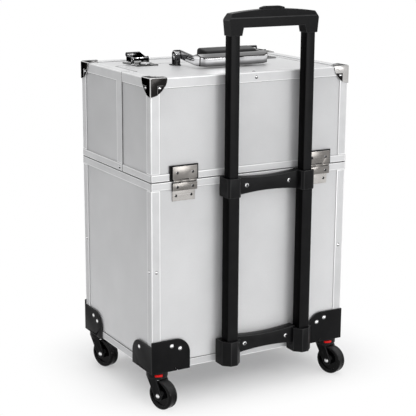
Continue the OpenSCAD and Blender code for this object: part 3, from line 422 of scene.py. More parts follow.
@dataclass(frozen=True)
class Plating(Finish):
    """Mirror plating with painted reflections: dark and bright streaks painted along its rounded edges.

    The stops give the painted shade from surfaces that look down, 0, over upright ones, 0.5, to
    those that look up, 1.
    """

    stops: tuple[Span, ...]
    rough: float = 0.06
    vary: float = 0.05
    bend: float = 0.025
    grazing: float = 1.0
    cloud: float = 60.0
    cool: float = 1.01

    def draw(self, graph: Graph) -> None:
        """Draws the painted reflection streaks, with faint clouds that bend them."""
        cloud = graph.even_noise(self.cloud, CLOUDY)
        # painted reflection: the shade is set by how far the face looks up
        level = graph.tilt() * 0.5 + (cloud - 0.5) * self.bend + 0.5
        shades = tuple((spot, (shade, shade, shade * self.cool)) for spot, shade in self.stops)
        graph.surface(
            Base_Color=graph.node("ShaderNodeValToRGB", {"stops": shades}, {"Fac": level}, "Color"),
            Metallic=1.0,
            Roughness=cloud * self.vary + self.rough,
            Specular_Tint=(self.grazing,) * 3,
        )


# Silver board and aluminium
BOARD = SilverBoard("silver_board")
BOARD_TOP = SilverBoard(
    "silver_board_top", (0.60, 0.602, 0.608), (0.68, 0.682, 0.688), sheen=0.36, painted_shade_share=0.0
)
BAND_LEVEL = DrawnMetal(
    "band_level", (0.68, 0.682, 0.688), (0.60, 0.602, 0.608), 0.44, grain=Grain.LEVEL, metal=0.15
)
BAND_UPRIGHT = DrawnMetal(
    "band_upright", (0.66, 0.662, 0.668), (0.59, 0.592, 0.598), 0.44, grain=Grain.UPRIGHT, metal=0.15
)
# painted highlight: near-white aluminium for rounded band edges and the strips along them
BAND_EDGE_HIGHLIGHT = DrawnMetal("band_edge", (0.92, 0.922, 0.925), (0.86, 0.862, 0.866), 0.36, metal=0.2)
# painted shadow line where a band meets the panel
BAND_PAINTED_SHADOW_LINE = GrainedSurface("band_edge_line", (0.26, 0.26, 0.263), (0.32, 0.32, 0.324), 0.55, gloss=0.2)
# painted shade for the seam and the split between the halves
SEAM_PAINTED_SHADE = GrainedSurface("seam_line", (0.15, 0.15, 0.152), (0.20, 0.20, 0.203), 0.55, gloss=0.2)
# painted shade, near black: shadow lines in joints, drive recesses and hinge screw heads
PAINTED_SHADE_DARK = GrainedSurface(
    "dark_joint_line", (0.016, 0.016, 0.017), (0.028, 0.028, 0.030), 0.60, gloss=0.15
)

# Nickel, chrome and screws
NICKEL = DrawnMetal(
    "nickel_plate", (0.25, 0.237, 0.224), (0.17, 0.161, 0.152), 0.30, grain=Grain.LEVEL, groove=0.04
)
# pale nickel for the lower leaves' tongues, and a painted highlight on every leaf's rounded edges
NICKEL_PALE_AND_EDGE_HIGHLIGHT = DrawnMetal(
    "nickel_tongue", (0.56, 0.54, 0.52), (0.46, 0.443, 0.426), 0.28, grain=Grain.LEVEL, groove=0.04
)
# painted shade for the side and top walls of the hinge leaves
HINGE_SIDE_SHADE = DrawnMetal("hinge_side", (0.030, 0.028, 0.027), (0.014, 0.013, 0.0125), 0.30, groove=0.04)
GUNMETAL = DrawnMetal(
    "gunmetal_cap", (0.020, 0.019, 0.0185), (0.009, 0.0086, 0.0083), 0.22, 0.08, groove=0.05, grazing=0.3
)
# painted reflection and painted highlight for the caps' faces and edges
CAP_PAINTED_REFLECTION = DrawnMetal("cap_bright", (0.62, 0.61, 0.60), (0.46, 0.45, 0.44), 0.18, 0.06, groove=0.04)
CAP_EDGE_HIGHLIGHT = DrawnMetal("cap_edge", (0.62, 0.615, 0.61), (0.48, 0.475, 0.47), 0.22, 0.06, groove=0.04)
# painted reflections: each plating ramp below paints dark and bright streaks by how far a face looks up
CHROME = Plating("bright_chrome", (
    (0.0, 0.01), (0.34, 0.02), (0.41, 0.30), (0.45, 0.92), (0.51, 0.96),
    (0.57, 0.05), (0.66, 0.55), (0.84, 0.10), (0.96, 0.30), (1.0, 0.26),
))
LATCH_CHROME = Plating("latch_chrome", (
    (0.0, 0.01), (0.44, 0.02), (0.49, 0.05), (0.52, 0.07), (0.57, 0.92),
    (0.65, 0.03), (0.76, 0.85), (0.86, 0.03), (0.97, 0.10), (1.0, 0.03),
), grazing=0.2)
# painted reflection: dark streaks for the rounded edges of chrome
CHROME_PAINTED_DARK_EDGE = DrawnMetal(
    "chrome_edge", (0.030, 0.026, 0.024), (0.014, 0.012, 0.011), 0.20, 0.05, groove=0.02
)
SCREW_METAL = Plating("screw_metal", (
    (0.0, 0.02), (0.42, 0.03), (0.49, 0.10), (0.54, 0.70), (0.66, 0.90), (0.80, 0.20), (1.0, 0.30),
), 0.12)
RIVET = Plating("rivet_metal", (
    (0.0, 0.03), (0.20, 0.05), (0.36, 0.25), (0.45, 0.66),
    (0.55, 0.92), (0.68, 0.66), (0.80, 0.20), (1.0, 0.40),
), 0.10)

# Black and red
# painted highlight: a lighter black for rounded edges
BLACK_EDGE_HIGHLIGHT = GrainedSurface(
    "black_worn_edge", (0.013, 0.013, 0.0135), (0.023, 0.023, 0.024), 0.34, gloss=0.2
)
BLACK_TUBE = GrainedSurface(
    "black_tube", (0.0062, 0.0062, 0.0067), (0.0098, 0.0098, 0.0103), 0.34,
    grain=2400.0, relief=0.06, gloss=0.07,
)
# painted shade for the tubes' side faces
BLACK_TUBE_SHADED_SIDE = GrainedSurface(
    "black_tube_side", (0.0016, 0.0016, 0.0018), (0.0030, 0.0030, 0.0032), 0.40,
    grain=2400.0, relief=0.06, gloss=0.02,
)
BLACK_PAINT = GrainedSurface(
    "black_powder_paint", (0.0055, 0.0055, 0.006), (0.009, 0.009, 0.0095), 0.48,
    grain=1700.0, relief=0.25, gloss=0.06,
)
BLACK_PLASTIC = GrainedSurface(
    "black_moulded_plastic", (0.0055, 0.0055, 0.006), (0.0095, 0.0095, 0.010), 0.40, gloss=0.09
)
# painted sheen pales the grip's faces that look up
BLACK_GRIP = GrainedSurface(
    "black_soft_grip", (0.005, 0.005, 0.0055), (0.009, 0.009, 0.0095), 0.36,
    relief=0.1, gloss=0.07, upper=0.6,
)
# painted highlight pales the wheel's faces that look up
BLACK_WHEEL = GrainedSurface(
    "black_wheel", (0.002, 0.002, 0.0022), (0.004, 0.004, 0.0042), 0.16, 0.05,
    relief=0.03, gloss=0.06, coat=0.10, upper=0.9,
)
BLACK_FOAM = GrainedSurface(
    "black_lining_foam", (0.012, 0.012, 0.013), (0.024, 0.024, 0.026), 0.80,
    grain=1100.0, relief=0.5, gloss=0.2,
)
TRAY_PLASTIC = GrainedSurface(
    "tray_plastic", (0.014, 0.014, 0.015), (0.024, 0.024, 0.025), 0.40, relief=0.3
)
RED_PLASTIC = GrainedSurface(
    "red_button_plastic", (0.72, 0.004, 0.004), (0.80, 0.008, 0.007), 0.32, relief=0.05, gloss=0.2
)


class Bench:
    """Modelling steps with Blender's own operators, on one mesh at a time."""

    @staticmethod
    def leave() -> None:
        """Goes back to object mode."""
        bpy.ops.object.mode_set(mode="OBJECT")

    @staticmethod
    def clear() -> None:
        """Leaves edit mode and deselects everything."""
        if bpy.context.object and bpy.context.object.mode != "OBJECT":
            Bench.leave()
        bpy.ops.object.select_all(action="DESELECT")

    @staticmethod
    def only(piece: Piece) -> None:
        """Makes one piece active and the only one selected."""
        Bench.clear()
        piece.select_set(True)
        bpy.context.view_layer.objects.active = piece

    @staticmethod
    def edit(piece: Piece) -> None:
        """Opens a piece in edit mode."""
        Bench.only(piece)
        bpy.ops.object.mode_set(mode="EDIT")

    @staticmethod
    def settle(name: str) -> Piece:
        """Names the active piece and puts its place into its mesh."""
        piece = bpy.context.object
        piece.name = name
        piece.data.name = name
        bpy.ops.object.transform_apply(location=True, rotation=True, scale=True)
        return piece

    @staticmethod
    def block(
        name: str, low: Vector | Triple, high: Vector | Triple, soft: float = 0.0, segments: int = 2
    ) -> Piece:
        """Adds a block between two corners.

        Args:
            name: The piece's name.
            low: Lowest corner, in metres.
            high: Highest corner, in metres.
            soft: Rounding of its edges, in metres; 0 leaves them sharp.
            segments: Steps of the rounding.

        Returns:
            The new piece.
        """
        Bench.clear()
        low, high = Vector(low), Vector(high)
        bpy.ops.mesh.primitive_cube_add(size=1, location=(low + high) / 2, scale=high - low)
        piece = Bench.settle(name)
        if soft > 0:
            Bench.round_edges(piece, soft, segments)
        return piece

    @staticmethod
    def rod(name: str, radius: float, length: float, sides: int) -> Piece:
        """Adds a cylinder along X around the origin.

        Args:
            name: The piece's name.
            radius: Radius in metres.
            length: Length in metres.
            sides: Facets around it.

        Returns:
            The new piece.
        """
        Bench.clear()
        bpy.ops.mesh.primitive_cylinder_add(
            vertices=sides, radius=radius, depth=length, rotation=(0, math.pi / 2, 0)
        )
        return Bench.settle(name)

    @staticmethod
    def ball(name: str, centre: Vector, radius: float, sides: int) -> Piece:
        """Adds a sphere.

        Args:
            name: The piece's name.
            centre: Its middle.
            radius: Radius in metres.
            sides: Facets around it; half as many rings.

        Returns:
            The new piece.
        """
        Bench.clear()
        bpy.ops.mesh.primitive_uv_sphere_add(
            segments=sides, ring_count=sides // 2, radius=radius, location=centre
        )
        return Bench.settle(name)

    @staticmethod
    def copy(name: str, piece: Piece) -> Piece:
        """Copies a piece with a mesh of its own."""
        twin = bpy.data.objects.new(name, piece.data.copy())
        twin.data.name = name
        bpy.context.scene.collection.objects.link(twin)
        return twin

    @staticmethod
    def cast(name: str, node: str, near: float = 0.001 * MM, flat: float = 0.4) -> Piece:
        """Copies a CAD node into a merged mesh with whole flat faces.

        Args:
            name: The new piece's name.
            node: The CAD node to copy.
            near: Points closer than this are merged, in metres.
            flat: Faces that meet at less than this are merged, in degrees.

        Returns:
            The new piece.
        """
        Bench.clear()
        piece = Bench.copy(name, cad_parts[node])
        Bench.edit(piece)
        bpy.ops.mesh.select_all(action="SELECT")
        bpy.ops.mesh.customdata_custom_splitnormals_clear()
        bpy.ops.mesh.remove_doubles(threshold=near)
        bpy.ops.mesh.dissolve_limited(angle_limit=math.radians(flat))
        Bench.leave()
        return piece

    @staticmethod
    def pick(piece: Piece, kind: Select, test: Callable[[Element], bool]) -> None:
        """Opens a piece and selects some of its faces or edges.

        Args:
            piece: The piece.
            kind: What is picked.
            test: Test for the faces or edges.
        """
        Bench.edit(piece)
        bpy.ops.mesh.select_mode(type=kind.name)
        bpy.ops.mesh.select_all(action="DESELECT")
        mesh = bmesh.from_edit_mesh(piece.data)
        for element in getattr(mesh, kind.value):
            element.select_set(test(element))
        bmesh.update_edit_mesh(piece.data)

    @staticmethod
    def pick_faces(piece: Piece, test: Test) -> None:
        """Selects the faces whose centre and normal pass a test, in edit mode."""
        Bench.pick(piece, Select.FACE, lambda face: test(face.calc_center_median(), face.normal))

    @staticmethod
    def pick_edges(piece: Piece, test: Test) -> None:
        """Selects the edges whose middle and direction pass a test, in edit mode."""

        def passes(edge: bmesh.types.BMEdge) -> bool:
            """Runs the test on one edge."""
            first, second = (point.co for point in edge.verts)
            return test((first + second) / 2, (second - first).normalized())

        Bench.pick(piece, Select.EDGE, passes)

    @staticmethod
    def bevel_picked(width: float, segments: int) -> None:
        """Rounds the selected edges and leaves edit mode."""
        bpy.ops.mesh.bevel(
            offset=width, offset_type="OFFSET", segments=segments, affect="EDGES", clamp_overlap=True
        )
        Bench.leave()

    @staticmethod
    def apply(piece: Piece, kind: str, **settings: object) -> None:
        """Adds a modifier, sets it and applies it."""
        Bench.only(piece)
        made = piece.modifiers.new(kind.lower(), kind)
        for key, value in settings.items():
            setattr(made, key, value)
        bpy.ops.object.modifier_apply(modifier=made.name)

    @staticmethod
    def weigh_edges(piece: Piece, angle: float) -> None:
        """Marks the outward edges that are sharper than an angle in degrees."""
        Bench.edit(piece)
        mesh = bmesh.from_edit_mesh(piece.data)
        weights = mesh.edges.layers.float.new("bevel_weight_edge")
        for edge in mesh.edges:
            edge[weights] = float(edge.calc_face_angle_signed(0.0) > math.radians(angle))
        bmesh.update_edit_mesh(piece.data)
        Bench.leave()

    @staticmethod
    def round_edges(
        piece: Piece, width: float, segments: int = 2, angle: float = SHARP, slot: int = -1
    ) -> None:
        """Rounds every outward edge that is sharper than an angle.

        Args:
            piece: The piece.
            width: Rounding in metres.
            segments: Steps of the rounding.
            angle: Edges sharper than this are rounded, in degrees.
            slot: Material slot for the new faces; -1 keeps their neighbours'.
        """
        Bench.weigh_edges(piece, angle)
        Bench.apply(
            piece,
            "BEVEL",
            width=width,
            segments=segments,
            limit_method="WEIGHT",
            use_clamp_overlap=False,
            material=slot,
        )

    @staticmethod
    def combine(piece: Piece, other: Piece, operation: str) -> None:
        """Cuts or crosses a piece with another, which is used up."""
        Bench.apply(piece, "BOOLEAN", operation=operation, solver="EXACT", object=other)
        bpy.data.objects.remove(other)

    @staticmethod
    def join(name: str, pieces: list[Piece]) -> Piece:
        """Joins pieces into one, under a new name."""
        Bench.clear()
        for piece in pieces:
            piece.select_set(True)
        bpy.context.view_layer.objects.active = pieces[0]
        bpy.ops.object.join()
        return Bench.settle(name)

    @staticmethod
    def mirrored(name: str, piece: Piece, axis: int, about: Vector) -> Piece:
        """Copies a piece to the other side of a plane.

        Args:
            name: The copy's name.
            piece: The piece to copy.
            axis: 0, 1 or 2 for a plane across X, Y or Z.
            about: A point of the plane.

        Returns:
            The copy, its normals outwards.
        """
        twin = Bench.copy(name, piece)
        Bench.edit(twin)
        bpy.ops.mesh.select_all(action="SELECT")
        scale = [1.0, 1.0, 1.0]
        scale[axis] = -1.0
        bpy.ops.transform.resize(value=scale, center_override=about)
        bpy.ops.mesh.normals_make_consistent(inside=False)
        Bench.leave()
        return twin

    @staticmethod
    def placed(name: str, piece: Piece, spot: Vector, turn: float) -> Piece:
        """Copies a piece from the origin to a spot, turned about Z by radians."""
        twin = Bench.copy(name, piece)
        twin.location = spot
        twin.rotation_euler = (0, 0, turn)
        Bench.only(twin)
        return Bench.settle(name)

    @staticmethod
    def smooth(piece: Piece, angle: float = 32.0) -> None:
        """Shades a piece smooth, with edges sharper than an angle in degrees kept."""
        Bench.only(piece)
        bpy.ops.object.shade_smooth_by_angle(angle=math.radians(angle))


def span(node: str) -> tuple[Vector, Vector]:
    """A CAD node's lowest and highest corners, in metres."""
    low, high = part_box(node)
    return Vector(low), Vector(high)


def split_y() -> float:
    """Where the two halves of the lid part, along Y."""
    return (span("rear_lid_rim")[0].y + span("front_lid_rim")[1].y) / 2


def squareness(normal: Vector) -> float:
    """The largest part of a normal along an axis, 1 for a face square to one."""
    return max(abs(part) for part in normal)


def dress_node(node: str, finish: Finish) -> None:
    """Gives a CAD node a finish.

    Args:
        node: The CAD node.
        finish: Its finish.
    """
    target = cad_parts[node]
    if not target.material_slots:
        target.data.materials.append(None)
    for slot in target.material_slots:
        slot.material = material_of(finish)
    log.info("node %s: %s", node, finish.name)


def fit(piece: Piece, body: str, slot: str, finish: Finish, *nodes: str) -> Piece:
    """Dresses a new piece and ties it to its body.

    Args:
        piece: The piece.
        body: The body that it rides on.
        slot: The record's material slot; not used.
        finish: Its finish.
        nodes: CAD nodes that it stands for.

    Returns:
        The piece.
    """
    if material_of(finish) not in piece.data.materials[:]:
        piece.data.materials.clear()
        piece.data.materials.append(material_of(finish))
    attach(piece, body)
    if nodes:
        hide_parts(*nodes)
    log.info("piece %s on %s: %d faces, %s", piece.name, body, len(piece.data.polygons), finish.name)
    return piece


def softened(
    name: str,
    node: str,
    body: str,
    slot: str,
    finish: Finish,
    width: float,
    segments: int = 2,
    angle: float = SHARP,
    edge: Finish | None = None,
) -> Piece:
    """Makes a rounded stand-in for a CAD node.

    slot: The record's material slot; not used.
        finish: Its finish.
        width: Rounding of its edges, in metres; 0 leaves them sharp.
        segments: Steps of the rounding.
        angle: Edges sharper than this are rounded, in degrees.
        edge: A finish of its own for the rounded edges.

    Returns:
        The piece.
    """
    piece = Bench.cast(name, node)
    if edge:
        piece.data.materials.clear()
        piece.data.materials.append(material_of(finish))
        piece.data.materials.append(material_of(edge))
    if width > 0:
        Bench.round_edges(piece, width, segments, angle, 1 if edge else -1)
    Bench.smooth(piece)
    return fit(piece, body, slot, finish, node)


def tint(piece: Piece, finish: Finish, test: Test) -> None:
    """Gives some faces of a piece a further finish.

    Args:
        piece: The piece.
        finish: The further finish.
        test: Test for the faces, by their centre and normal.
    """
    index = len(piece.data.materials)
    piece.data.materials.append(material_of(finish))
    for face in piece.data.polygons:
        if test(face.center, face.normal):
            face.material_index = index


def edge_strip(piece: Piece, finish: Finish, width: float, turn: float, broad: float = 3.0) -> None:
    """Edges the broad flat faces of a piece with a strip of a further finish.

    Args:
        piece: The piece.
        finish: The strip's finish.
        width: The strip's width, in metres.
        turn: Faces count as flat where one part of their normal is above this.
        broad: Faces count as broad where they are wider than this many strips.
    """
    index = len(piece.data.materials)
    piece.data.materials.append(material_of(finish))
    count = len(piece.data.polygons)
    Bench.pick(piece, Select.FACE, lambda face: (
        2 * face.calc_area() / face.calc_perimeter() > broad * width and squareness(face.normal) > turn
    ))
    bpy.ops.mesh.inset(thickness=width)
    mesh = bmesh.from_edit_mesh(piece.data)
    mesh.faces.ensure_lookup_table()
    for face in mesh.faces[count:]:
        face.material_index = index
    bmesh.update_edit_mesh(piece.data)
    Bench.leave()


@dataclass
class CaseShell:
    """Panels and the foam lining of the lower box and both lid halves."""

    lining_t: float = 1.4 * MM
    soft: float = 0.4 * MM
    ease: float = 0.1 * MM
    tongue_in: float = 32 * MM
    tongue_gap: float = 1 * MM
    latch_gap: float = 3 * MM

    def dress(self) -> None:
        """Gives every board panel its laminate."""
        for node in (
            "base_long_panels", "base_side_panels", "base_bottom_panel", "rear_lid_back_panel",
            "rear_lid_side_panels", "front_lid_front_panel", "front_lid_side_panels",
        ):
            dress_node(node, BOARD)
        for node in ("rear_lid_top_panel", "front_lid_top_panel"):
            dress_node(node, BOARD_TOP)

    def _shell(self, name: str, low: Triple, high: Triple, is_open: Test) -> Piece:
        """Makes a thin lining box with open sides.

        Args:
            name: The piece's name.
            low: Lowest corner of its outside.
            high: Highest corner of its outside.
            is_open: Test for the faces that are left out.

        Returns:
            The lining.
        """
        piece = Bench.block(name, low, high)
        Bench.pick_faces(piece, is_open)
        bpy.ops.mesh.delete(type="FACE")
        Bench.leave()
        Bench.apply(piece, "SOLIDIFY", thickness=self.lining_t, offset=-1.0, use_even_offset=True)
        Bench.round_edges(piece, self.soft)
        Bench.smooth(piece)
        return piece

    def build(self) -> None:
        """Lines the three boxes."""
        front, rear = span("base_long_panels")
        board_in, board_out = span("rear_lid_back_panel")
        wall = board_out.y - board_in.y
        x = span("base_side_panels")[1].x - wall - self.ease
        front_y, rear_y = front.y + wall + self.ease, rear.y - wall - self.ease
        floor_z = span("base_bottom_panel")[1].z + self.ease
        rim_z = span("base_rim")[0].z - self.ease
        box = self._shell(
            "lower_box_lining", (-x, front_y, floor_z), (x, rear_y, rim_z),
            lambda centre, normal: normal.z > FACING,
        )
        fit(box, Body.BASE, "tray_plastic", BLACK_FOAM)
        low_z = span("rear_lid_rim")[1].z + self.ease
        high_z = span("rear_lid_top_panel")[0].z - self.ease
        split = span("rear_lid_side_panels")[0].y + self.ease
        rear_box = self._shell(
            "rear_lid_lining", (-x, split, low_z), (x, rear_y, high_z),
            lambda centre, normal: normal.z < -FACING or normal.y < -FACING,
        )
        edge = span("front_lid_top_panel")[1].x - self.tongue_in
        tongue_y = span("rear_lid_top_panel")[0].y + self.tongue_gap
        pad = Bench.block(
            "tongue_pad", (-edge, tongue_y, high_z - self.lining_t), (edge, split - self.ease, high_z),
            self.soft,
        )
        fit(Bench.join("rear_lid_lining", [rear_box, pad]), Body.REAR_LID, "tray_plastic", BLACK_FOAM)
        latch_y = span("latch_bases")[1].y - self.latch_gap
        front_wall = self._shell(
            "front_lid_lining", (-x, front_y, low_z), (x, latch_y, high_z),
            lambda centre, normal: normal.z < -FACING or normal.y > FACING or abs(normal.x) > FACING,
        )
        fit(front_wall, Body.FRONT_LID, "tray_plastic", BLACK_FOAM)


@dataclass
class EdgeTrim:
    """Aluminium profiles, seam channels, rivets and corner caps."""

    soft: float = 0.6 * MM
    channel_soft: float = 0.8 * MM
    line: float = 0.9 * MM
    lean: float = 0.2
    slant: Span = (0.2, 0.95)
    strip_h: float = 14 * MM
    upright_low: float = 13.4 * MM
    upright_top: float = 16.2 * MM
    flange: float = 26 * MM
    bead: float = 0.9 * MM
    proud: float = 0.15 * MM
    bead_soft: float = 0.075 * MM
    bead_steps: int = 1
    cap_round: float = 2.2 * MM
    cap_steps: int = 4
    cap_sides: int = 72
    cap_sheet: float = 1.6 * MM
    cap_pocket: float = 13 * MM
    pocket_deep: float = 0.7 * MM
    cap_lip: float = 0.5 * MM
    lip_angle: float = 50.0
    near: float = 0.05 * MM
    reach: float = 60 * MM
    clear: float = 5 * MM
    lip: float = 1.0 * MM
    edge_turn: float = 0.97
    hinge_reach: float = 45 * MM
    head_turn: float = 0.86
    recess_area: float = 4 * MM * MM
    recess_r: float = 1.75 * MM
    floor_sides: int = 8

    def _strip(self, name: str, node: str, body: Body, upright_from: float, upright_to: float) -> None:
        """Rounds a profile set, gives its uprights lines of their own direction, paints highlights on its
        edges, a shadow line along one edge and shade at the split between the lid halves.

        Args:
            name: The piece's name.
            node: The CAD node.
            body: Its body.
            upright_from: Height above which a face belongs to an upright.
            upright_to: Height below which a face belongs to an upright.
        """
        piece = softened(name, node, body, "silver_profile", BAND_LEVEL, self.soft, edge=BAND_EDGE_HIGHLIGHT)
        split = split_y()
        tint(piece, BAND_UPRIGHT, lambda centre, normal: (
            upright_from < centre.z < upright_to and squareness(normal) > self.edge_turn
        ))
        # painted shadow line along one edge of the band, darker on the lower box
        edge, line = upright_to, BAND_PAINTED_SHADOW_LINE
        if body == Body.BASE:
            edge, line = min(span(node)[0].z + self.strip_h, upright_from), PAINTED_SHADE_DARK
        tint(piece, line, lambda centre, normal: (
            abs(centre.z - edge) < self.line and self.slant[0] < abs(normal.z) < self.slant[1]
        ))
        # painted shade along the split of the lid halves
        tint(piece, SEAM_PAINTED_SHADE, lambda centre, normal: (
            abs(centre.y - split) < self.line and abs(normal.x) + abs(normal.z) > self.lean
        ))
        # painted highlight strips along the edges of the flat faces
        edge_strip(piece, BAND_EDGE_HIGHLIGHT, self.lip, self.edge_turn)

    def _channel(self, name: str, node: str, body: Body) -> None:
        """Rounds a seam channel, paints shade on the edge that meets the other half, at the split and on
        its slanted corner faces, and paints highlight strips along its flat faces.

        Args:
            name: The piece's name.
            node: The CAD node.
            body: Its body.
        """
        seam = (span("base_rim")[1].z + span("rear_lid_rim")[0].z) / 2
        split = split_y()
        piece = softened(name, node, body, "silver_profile", BAND_LEVEL, self.channel_soft)
        tint(piece, SEAM_PAINTED_SHADE, lambda centre, normal: (
            abs(centre.z - seam) < self.line
            or body != Body.BASE and abs(centre.y - split) < self.line
            or min(abs(normal.x), abs(normal.y)) > self.lean and abs(normal.z) < self.lean
        ))
        # painted highlight strips along the edges of the flat faces
        edge_strip(piece, BAND_EDGE_HIGHLIGHT, self.lip, self.edge_turn)

    def _shadow_bead(self) -> None:
        """Lays a thin dark bead along the joint between the two lid tops, a painted shadow for the shade
        in that joint.
        """
        low, high = span("rear_lid_top_panel")
        back = span("front_lid_side_panels")[1].y
        side = high.x - self.flange
        beads = [
            Bench.block(
                "bead", (left, near, high.z - self.line),
                (right + self.bead, far + self.bead, high.z + self.proud), self.bead_soft, self.bead_steps,
            )
            for left, right, near, far in (
                (-side, side, low.y, low.y),
                (side, side, low.y, back),
                (-side, -side, low.y, back),
                (side, high.x, back, back),
                (-high.x, -side, back, back),
            )
        ]
        fit(Bench.join("lid_joint_bead", beads), Body.REAR_LID, "black_plastic", PAINTED_SHADE_DARK)

    def _cap(self, corner: Vector, size: float) -> Piece:
        """Makes one corner cap for the corner of +X, +Y and +Z.

        Args:
            corner: The outer corner point.
            size: Radius of its shield outline.

        Returns:
            The cap.
        """
        inward = Vector((-1, -1, -1))
        cap = Bench.block("cap", corner + inward * size, corner)
        Bench.pick_edges(
            cap, lambda middle, along: sum(abs(middle[i] - corner[i]) < self.near for i in range(3)) == 2
        )
        Bench.bevel_picked(self.cap_round, self.cap_steps)
        Bench.combine(cap, Bench.ball("cap_outline", corner, size, self.cap_sides), "INTERSECT")
        inside = Bench.block("cap_inside", corner + inward * self.reach, corner + inward * self.cap_sheet)
        Bench.combine(cap, inside, "DIFFERENCE")
        for axis in range(3):
            low, high = corner + inward * self.reach, corner + inward * self.cap_pocket
            low[axis] = corner[axis] - self.pocket_deep
            high[axis] = corner[axis] + self.clear
            Bench.combine(cap, Bench.block("cap_pocket", low, high), "DIFFERENCE")
        Bench.round_edges(cap, self.cap_lip, angle=self.lip_angle)
        Bench.smooth(cap)
        return cap

    def _caps(self) -> None:
        """Makes the four corner caps, with painted highlights on their edges and a painted reflection on
        the rear face of the rear right cap.
        """
        rear_low, corner = span("rear_lid_corner_caps")
        left = self._cap(corner, corner.y - rear_low.y)
        middle = Vector((0, (corner.y + span("front_lid_corner_caps")[0].y) / 2, 0))
        right = Bench.mirrored("cap_right", left, 0, middle)
        front_left = Bench.mirrored("cap_front_left", left, 1, middle)
        front_right = Bench.mirrored("cap_front_right", right, 1, middle)
        for name, pair, body, node in (
            ("rear_corner_caps", [left, right], Body.REAR_LID, "rear_lid_corner_caps"),
            ("front_corner_caps", [front_left, front_right], Body.FRONT_LID, "front_lid_corner_caps"),
        ):
            caps = fit(Bench.join(name, pair), body, "cap_metal", GUNMETAL, node)
            # painted highlights on the rounded edges; a painted reflection on the rear face of the rear
            # right cap
            tint(caps, CAP_EDGE_HIGHLIGHT, lambda centre, normal: squareness(normal) < self.edge_turn)
            tint(caps, CAP_PAINTED_REFLECTION, lambda centre, normal: (
                normal.y > self.edge_turn and centre.x < 0 and corner.y - centre.y < self.pocket_deep / 2
            ))

    def _fasteners(self, name: str, node: str, body: Body, finish: Finish) -> None:
        """Plates rivets and screws, and paints shade into drive recesses and onto the heads in the hinges.

        Args:
            name: The piece's name.
            node: The CAD node.
            body: Its body.
            finish: The rivets' finish.
        """
        piece = softened(name, node, body, "fastener_metal", finish, 0)
        seam = span("base_rim")[1].z
        hinge_x = span("base_hinge_leaves")[1].x - HINGE_W / 2
        floors = [
            face.center.copy() for face in piece.data.polygons
            if len(face.vertices) > self.floor_sides and face.area < self.recess_area
        ]

        def is_hinge(centre: Vector) -> bool:
            """True for a spot in a hinge."""
            return abs(abs(centre.x) - hinge_x) < HINGE_W / 2 and abs(centre.z - seam) < self.hinge_reach

        tint(piece, SCREW_METAL, lambda centre, normal: is_hinge(centre))
        # painted shade: drive recesses and the flat of the hinge screw heads go dark
        tint(piece, PAINTED_SHADE_DARK, lambda centre, normal: (
            is_hinge(centre) and abs(normal.y) > self.head_turn
            or any((centre - floor).length < self.recess_r for floor in floors)
        ))

    def build(self) -> None:
        """Makes bands, channels, bead, caps and fasteners."""
        low = span("base_profiles")[0].z + self.upright_low
        top = span("rear_lid_profiles")[1].z - self.upright_top
        seam = span("rear_lid_rim")[1].z
        self._strip("lower_profiles", "base_profiles", Body.BASE, low, seam)
        self._strip("rear_lid_bands", "rear_lid_profiles", Body.REAR_LID, seam, top)
        self._strip("front_lid_bands", "front_lid_profiles", Body.FRONT_LID, seam, top)
        self._channel("lower_seam_channel", "base_rim", Body.BASE)
        self._channel("rear_seam_channel", "rear_lid_rim", Body.REAR_LID)
        self._channel("front_seam_channel", "front_lid_rim", Body.FRONT_LID)
        self._shadow_bead()
        self._caps()
        self._fasteners("lower_rivets", "base_fasteners", Body.BASE, RIVET)
        self._fasteners("rear_lid_rivets", "rear_lid_fasteners", Body.REAR_LID, SCREW_METAL)
        self._fasteners("front_lid_rivets", "front_lid_fasteners", Body.FRONT_LID, SCREW_METAL)


